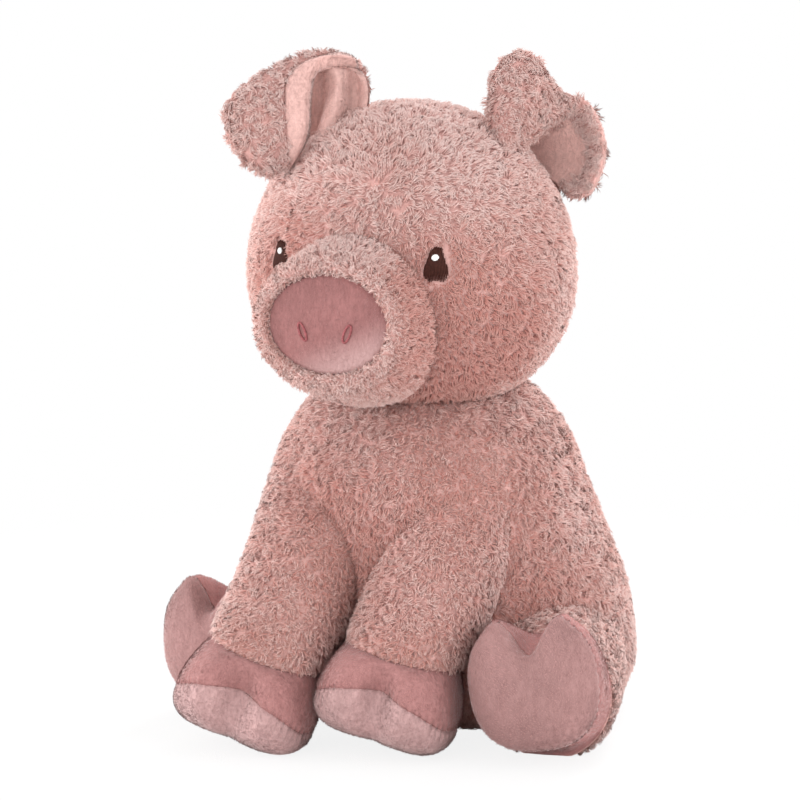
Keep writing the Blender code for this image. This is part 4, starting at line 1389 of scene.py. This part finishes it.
def build_ear(side, ear):
    body = "ear_" + side
    back_sign, seed = ear["back_sign"], ear["seed"]
    grid = ear_grid(ear["rows"], ear_along, ear_across)
    normals = grid_normals(grid)
    rows, columns = grid.shape[:2]
    back = normals * back_sign

    outer = closed_sheet(body + "_cloth", grid + back * layer_gap,
                         grid + back * (ear_wall - pile_cloth_sink))
    settle(add_object(body + "_cloth", outer, backing), body, "pile", [body + "_outer"])
    heights = lining_wall + np.array([[ear["rolls"](j / ear_along, i / (columns - 1))
                                       for i in range(columns)] for j in range(rows)])[:, :, None]
    inner = closed_sheet(body + "_lining_cloth", (grid - back * layer_gap)[:, 1:-1],
                         (grid - back * heights)[:, 1:-1])
    settle(add_object(body + "_lining_cloth", inner, lining_cloth), body, "lining_velboa",
           [body + "_lining"])
    turned = turned_lining(body + "_turned_lining", grid, normals, ear)
    settle(add_object(body + "_turned_lining", turned, lining_cloth), body, "lining_velboa")
    ear_lie = lie_of(grid[-1].mean(axis=0) - grid[0].mean(axis=0))
    grow_nap(body + "_turned_nap", turned, ear_lie, body, lining_nap, "lining_velboa", seed + 20)
    grow_nap(body + "_lining_nap", inner, ear_lie, body, lining_nap, "lining_velboa", seed + 30)

    def bare(along, across):
        share = (along - ear["first"]) / (ear["last"] - ear["first"])
        return share > 0 and across < ear["reach"](min(share, 1.0)) - turned_pile_overlap

    lie = lie_of(lambda places: grid[-1].mean(axis=0) - places)
    pile_side = grid_layer(grid + back * (ear_wall - pile_skin_sink), back_sign > 0,
                           lambda along, across: not bare(along, across))
    grow_pile(body + "_pile", pile_side, lie, body, seed, density=3.9, length=ear_pile_length, lean=0.5,
              neighbours=[near_head], roundness=0.70)
    rim = rim_mesh(grid, normals, back_sign * ear_wall, bare)
    grow_pile(body + "_rim_pile", rim, lie, body, seed + 10, density=6.0, length=ear_rim_length, lean=0.3,
              neighbours=[near_head], roundness=0.85)
    if side == "left":
        far_side = grid_layer(grid - normals * (lining_wall - far_skin_sink), False,
                              lambda along, across: along > far_pile_row)
        grow_pile("ear_left_far_pile", far_side, lie, body, 61, density=3.0, length=ear_pile_length,
                  lean=0.5, neighbours=[near_head], roundness=0.60)


for side, ear in ears.items():
    build_ear(side, ear)

# Snout, nostrils and eyes
disc_steps = 24
disc_sides = 112
disc_seam_sink, disc_seam_share = 0.0006, 0.05
disc_edge_depth, disc_back_depth = 0.0020, 0.0045
disc_nap_depth = 0.0035  # the nap ends this far behind the muzzle's front
disc_nap_length = 0.0008
nostril_sides = 32
nostril_lift = 0.0003
nostril_thread_width, nostril_thread_height = 0.00084, 0.00096


def disc_ring(share, height):
    turn = turns_of(disc_sides)
    across = snout_width / 2 * share * np.cos(turn)
    rise = snout_height / 2 * share * np.sin(turn)
    return np.array([snout_surface(x, z, height) for x, z in zip(across, rise)])


# Painted light on the snout disc, from 0 at its top to 1 where it is palest.
def snout_painted_light_share(places):
    return smooth_step(snout_light_lean * places[:, 0] - places[:, 2], -snout_light_top, -snout_light_foot)


def nostril_mesh(sign):
    """A closed loop of thread round a slanted slot."""
    lean = sign * nostril_lean
    loop = []
    for t in np.arange(nostril_sides + 1) * (2 * math.pi / nostril_sides):
        across = nostril_width / 2 * math.sin(t)
        rise = nostril_length / 2 * math.cos(t)
        x = across * math.cos(lean) + rise * math.sin(lean)
        z = rise * math.cos(lean) - across * math.sin(lean)
        loop.append(snout_surface(sign * nostril_spacing / 2 + x, z - nostril_drop, nostril_lift))
    loop = np.array(loop)
    rows = []
    for k in range(nostril_sides):
        across = unit(np.cross(unit(loop[k + 1] - loop[k - 1]), back_axis))
        rows.append(ring(loop[k], across, -back_axis, nostril_thread_width / 2, nostril_thread_height / 2,
                         stitch_sides))
    tube = ring_mesh("nostril", rows + rows[:1])
    bm = bmesh.new()
    bm.from_mesh(tube)
    bmesh.ops.remove_doubles(bm, verts=bm.verts, dist=1e-6)
    bm.to_mesh(tube)
    bm.free()
    return tube


disc_rows = [snout_surface(0.0, 0.0, 0.0)]
for share in np.arange(1, disc_steps + 1) / disc_steps:
    disc_rows.append(disc_ring(share, -disc_seam_sink * math.exp(-((1 - share) / disc_seam_share) ** 2)))
disc_rows.append(disc_ring(1.0, -disc_edge_depth))
disc_rows.append(snout_surface(0.0, 0.0, -disc_back_depth))
disc = add_object("snout_disc_cloth", ring_mesh("snout_disc_cloth", disc_rows), snout_cloth)
settle(disc, "head", "snout_velboa", ["snout_disc"])
# The snout's nap carries the same painted light.
grow_nap("snout_disc_nap", disc.data, lie_of(np.array((0.1, 0.0, -1.0))), "head", snout_nap, "snout_velboa",
         95, painted_shading_of=snout_painted_light_share, keep=lambda places: places[:, 1] < snout_front + disc_nap_depth,
         length=disc_nap_length)

for side, sign in (("left", 1), ("right", -1)):
    for node, mesh, thread, slot in (
            (f"eye_{side}", eye_mesh(sign), eye_thread, "eye_thread"),
            (f"eye_glint_{side}", glint_mesh(sign), glint_thread, "glint_thread"),
            (f"nostril_{side}", nostril_mesh(sign), nostril_thread, "nostril_thread")):
        settle(add_object(node + "_stitches", mesh, thread), "head", slot, [node])

# Tail
tail_steps = 90
tail_curl_start = 8  # the first step of the curl that the tail follows
tail_root_sink = 0.002
tail_sides = 32
tail_end_share = 0.7
height_shares, _, depth_shares = zip(*torso_profile)
share = tail_rise / torso_height
seat_back = torso_axis_y(share) + torso_depth / 2 * np.interp(share, height_shares, depth_shares)
tail_start = np.array((0.0, seat_back + tail_radius + tail_standoff, tail_rise))
path = [tail_start - back_axis * (tail_radius + tail_root_sink), tail_start]
for k in range(tail_curl_start, tail_steps + 1):
    turn = 2 * math.pi * tail_turns * k / tail_steps
    path.append(tail_start + np.array((
        tail_pitch * k / tail_steps,
        tail_curl_radius * (tail_lead + math.sin(turn)),
        tail_curl_radius * (1 - math.cos(turn)),
    )))
path = smooth_run(path, 2)
last = len(path) - 1
rows = [path[0]]
for k, point in enumerate(path):
    radius = tail_radius * (1 - tail_taper * k / last)
    rows.append(aimed_ring(point, aim_at(path, k), side_axis, radius, tail_sides))
end = unit(path[-1] - path[-2])
end_radius = tail_radius * (1 - tail_taper)
for turn in np.radians((30, 55, 75)):
    centre = path[-1] + end * end_radius * tail_end_share * math.sin(turn)
    rows.append(aimed_ring(centre, end, side_axis, end_radius * math.cos(turn), tail_sides))
rows.append(path[-1] + end * end_radius * tail_end_share)
settle(add_object("tail_cloth", ring_mesh("tail_cloth", rows), tail_cloth), "tail", "velboa", ["tail"])

# Studio
floor_half = 1.2
floor_grey = (0.86, 0.86, 0.86)
fade_start, fade_end = 0.10, 0.45
least_fade = 0.86


def floor_material():
    """A pale floor that only the camera sees fade into the white background away from the toy."""
    n = Nodes("Pale floor")
    n.finish_with(floor_grey, 0.9, 0.2)
    length = n.add("ShaderNodeVectorMath", operation="LENGTH")
    n.link(n.object_place(), length.inputs[0])
    fade = n.add("ShaderNodeMapRange", interpolation_type="SMOOTHSTEP")
    fade.inputs["From Min"].default_value = fade_start
    fade.inputs["From Max"].default_value = fade_end
    fade.inputs["To Min"].default_value = least_fade
    n.link(length.outputs["Value"], fade.inputs["Value"])
    seen = n.add("ShaderNodeMath", operation="MULTIPLY")
    n.link(fade.outputs["Result"], seen.inputs[0])
    n.link(n.add("ShaderNodeLightPath").outputs["Is Camera Ray"], seen.inputs[1])
    mix = n.add("ShaderNodeMixShader")
    n.link(seen.outputs["Value"], mix.inputs[0])
    n.link(n.shader.outputs["BSDF"], mix.inputs[1])
    n.link(n.add("ShaderNodeBsdfTransparent").outputs["BSDF"], mix.inputs[2])
    n.link(mix.outputs["Shader"], n.output.inputs["Surface"])
    return n.material


floor_mesh = bpy.data.meshes.new("floor")
corners = [(x * floor_half, y * floor_half, 0.0) for x, y in ((-1, -1), (1, -1), (1, 1), (-1, 1))]
floor_mesh.from_pydata(corners, [], [(0, 1, 2, 3)])
add_object("floor", floor_mesh, floor_material())

world = bpy.data.worlds.new("Studio")
bpy.context.scene.world = world
world.use_nodes = True
tree = world.node_tree
tree.nodes.clear()
output = tree.nodes.new("ShaderNodeOutputWorld")
blend = tree.nodes.new("ShaderNodeMixShader")
ray = tree.nodes.new("ShaderNodeLightPath")
tree.links.new(ray.outputs["Is Camera Ray"], blend.inputs[0])
for socket, colour, strength in ((1, (1.0, 0.99, 0.98), 0.97), (2, full_white, 1.0)):
    room = tree.nodes.new("ShaderNodeBackground")
    room.inputs["Color"].default_value = (*colour, 1.0)
    room.inputs["Strength"].default_value = strength
    tree.links.new(room.outputs["Background"], blend.inputs[socket])
tree.links.new(blend.outputs["Shader"], output.inputs["Surface"])

lamp_target = Vector((0.0, -0.01, 0.12))
for name, place, size, power_watts in (
        ("key_lamp", (-0.10, -1.00, 0.36), 0.90, 5.0),
        ("left_lamp", (-0.95, -0.40, 0.26), 0.60, 6.0),
        ("right_lamp", (1.00, -0.05, 0.40), 0.60, 5.0),
        ("back_lamp", (0.10, 0.80, 0.85), 0.60, 10.0)):
    lamp = bpy.data.lights.new(name, "AREA")
    lamp.shape = "DISK"
    lamp.size = size
    lamp.energy = power_watts
    thing = bpy.data.objects.new(name, lamp)
    thing.location = place
    thing.rotation_euler = (lamp_target - Vector(place)).to_track_quat("-Z", "Y").to_euler()
    bpy.context.collection.objects.link(thing)

camera = bpy.data.cameras.new("camera")
camera.lens = 149.6
camera.sensor_width = 36.0
camera.clip_start = 0.01
camera_target = Vector((-0.0080, -0.0144, 0.117))
azimuth, elevation, distance = math.radians(25.0), math.radians(8.0), 1.2
look = Vector((-math.sin(azimuth) * math.cos(elevation), math.cos(azimuth) * math.cos(elevation),
               -math.sin(elevation)))
viewer = bpy.data.objects.new("camera", camera)
viewer.location = camera_target - look * distance
viewer.rotation_euler = look.to_track_quat("-Z", "Y").to_euler()
bpy.context.collection.objects.link(viewer)
bpy.context.scene.camera = viewer
bpy.context.scene.view_settings.view_transform = "Standard"
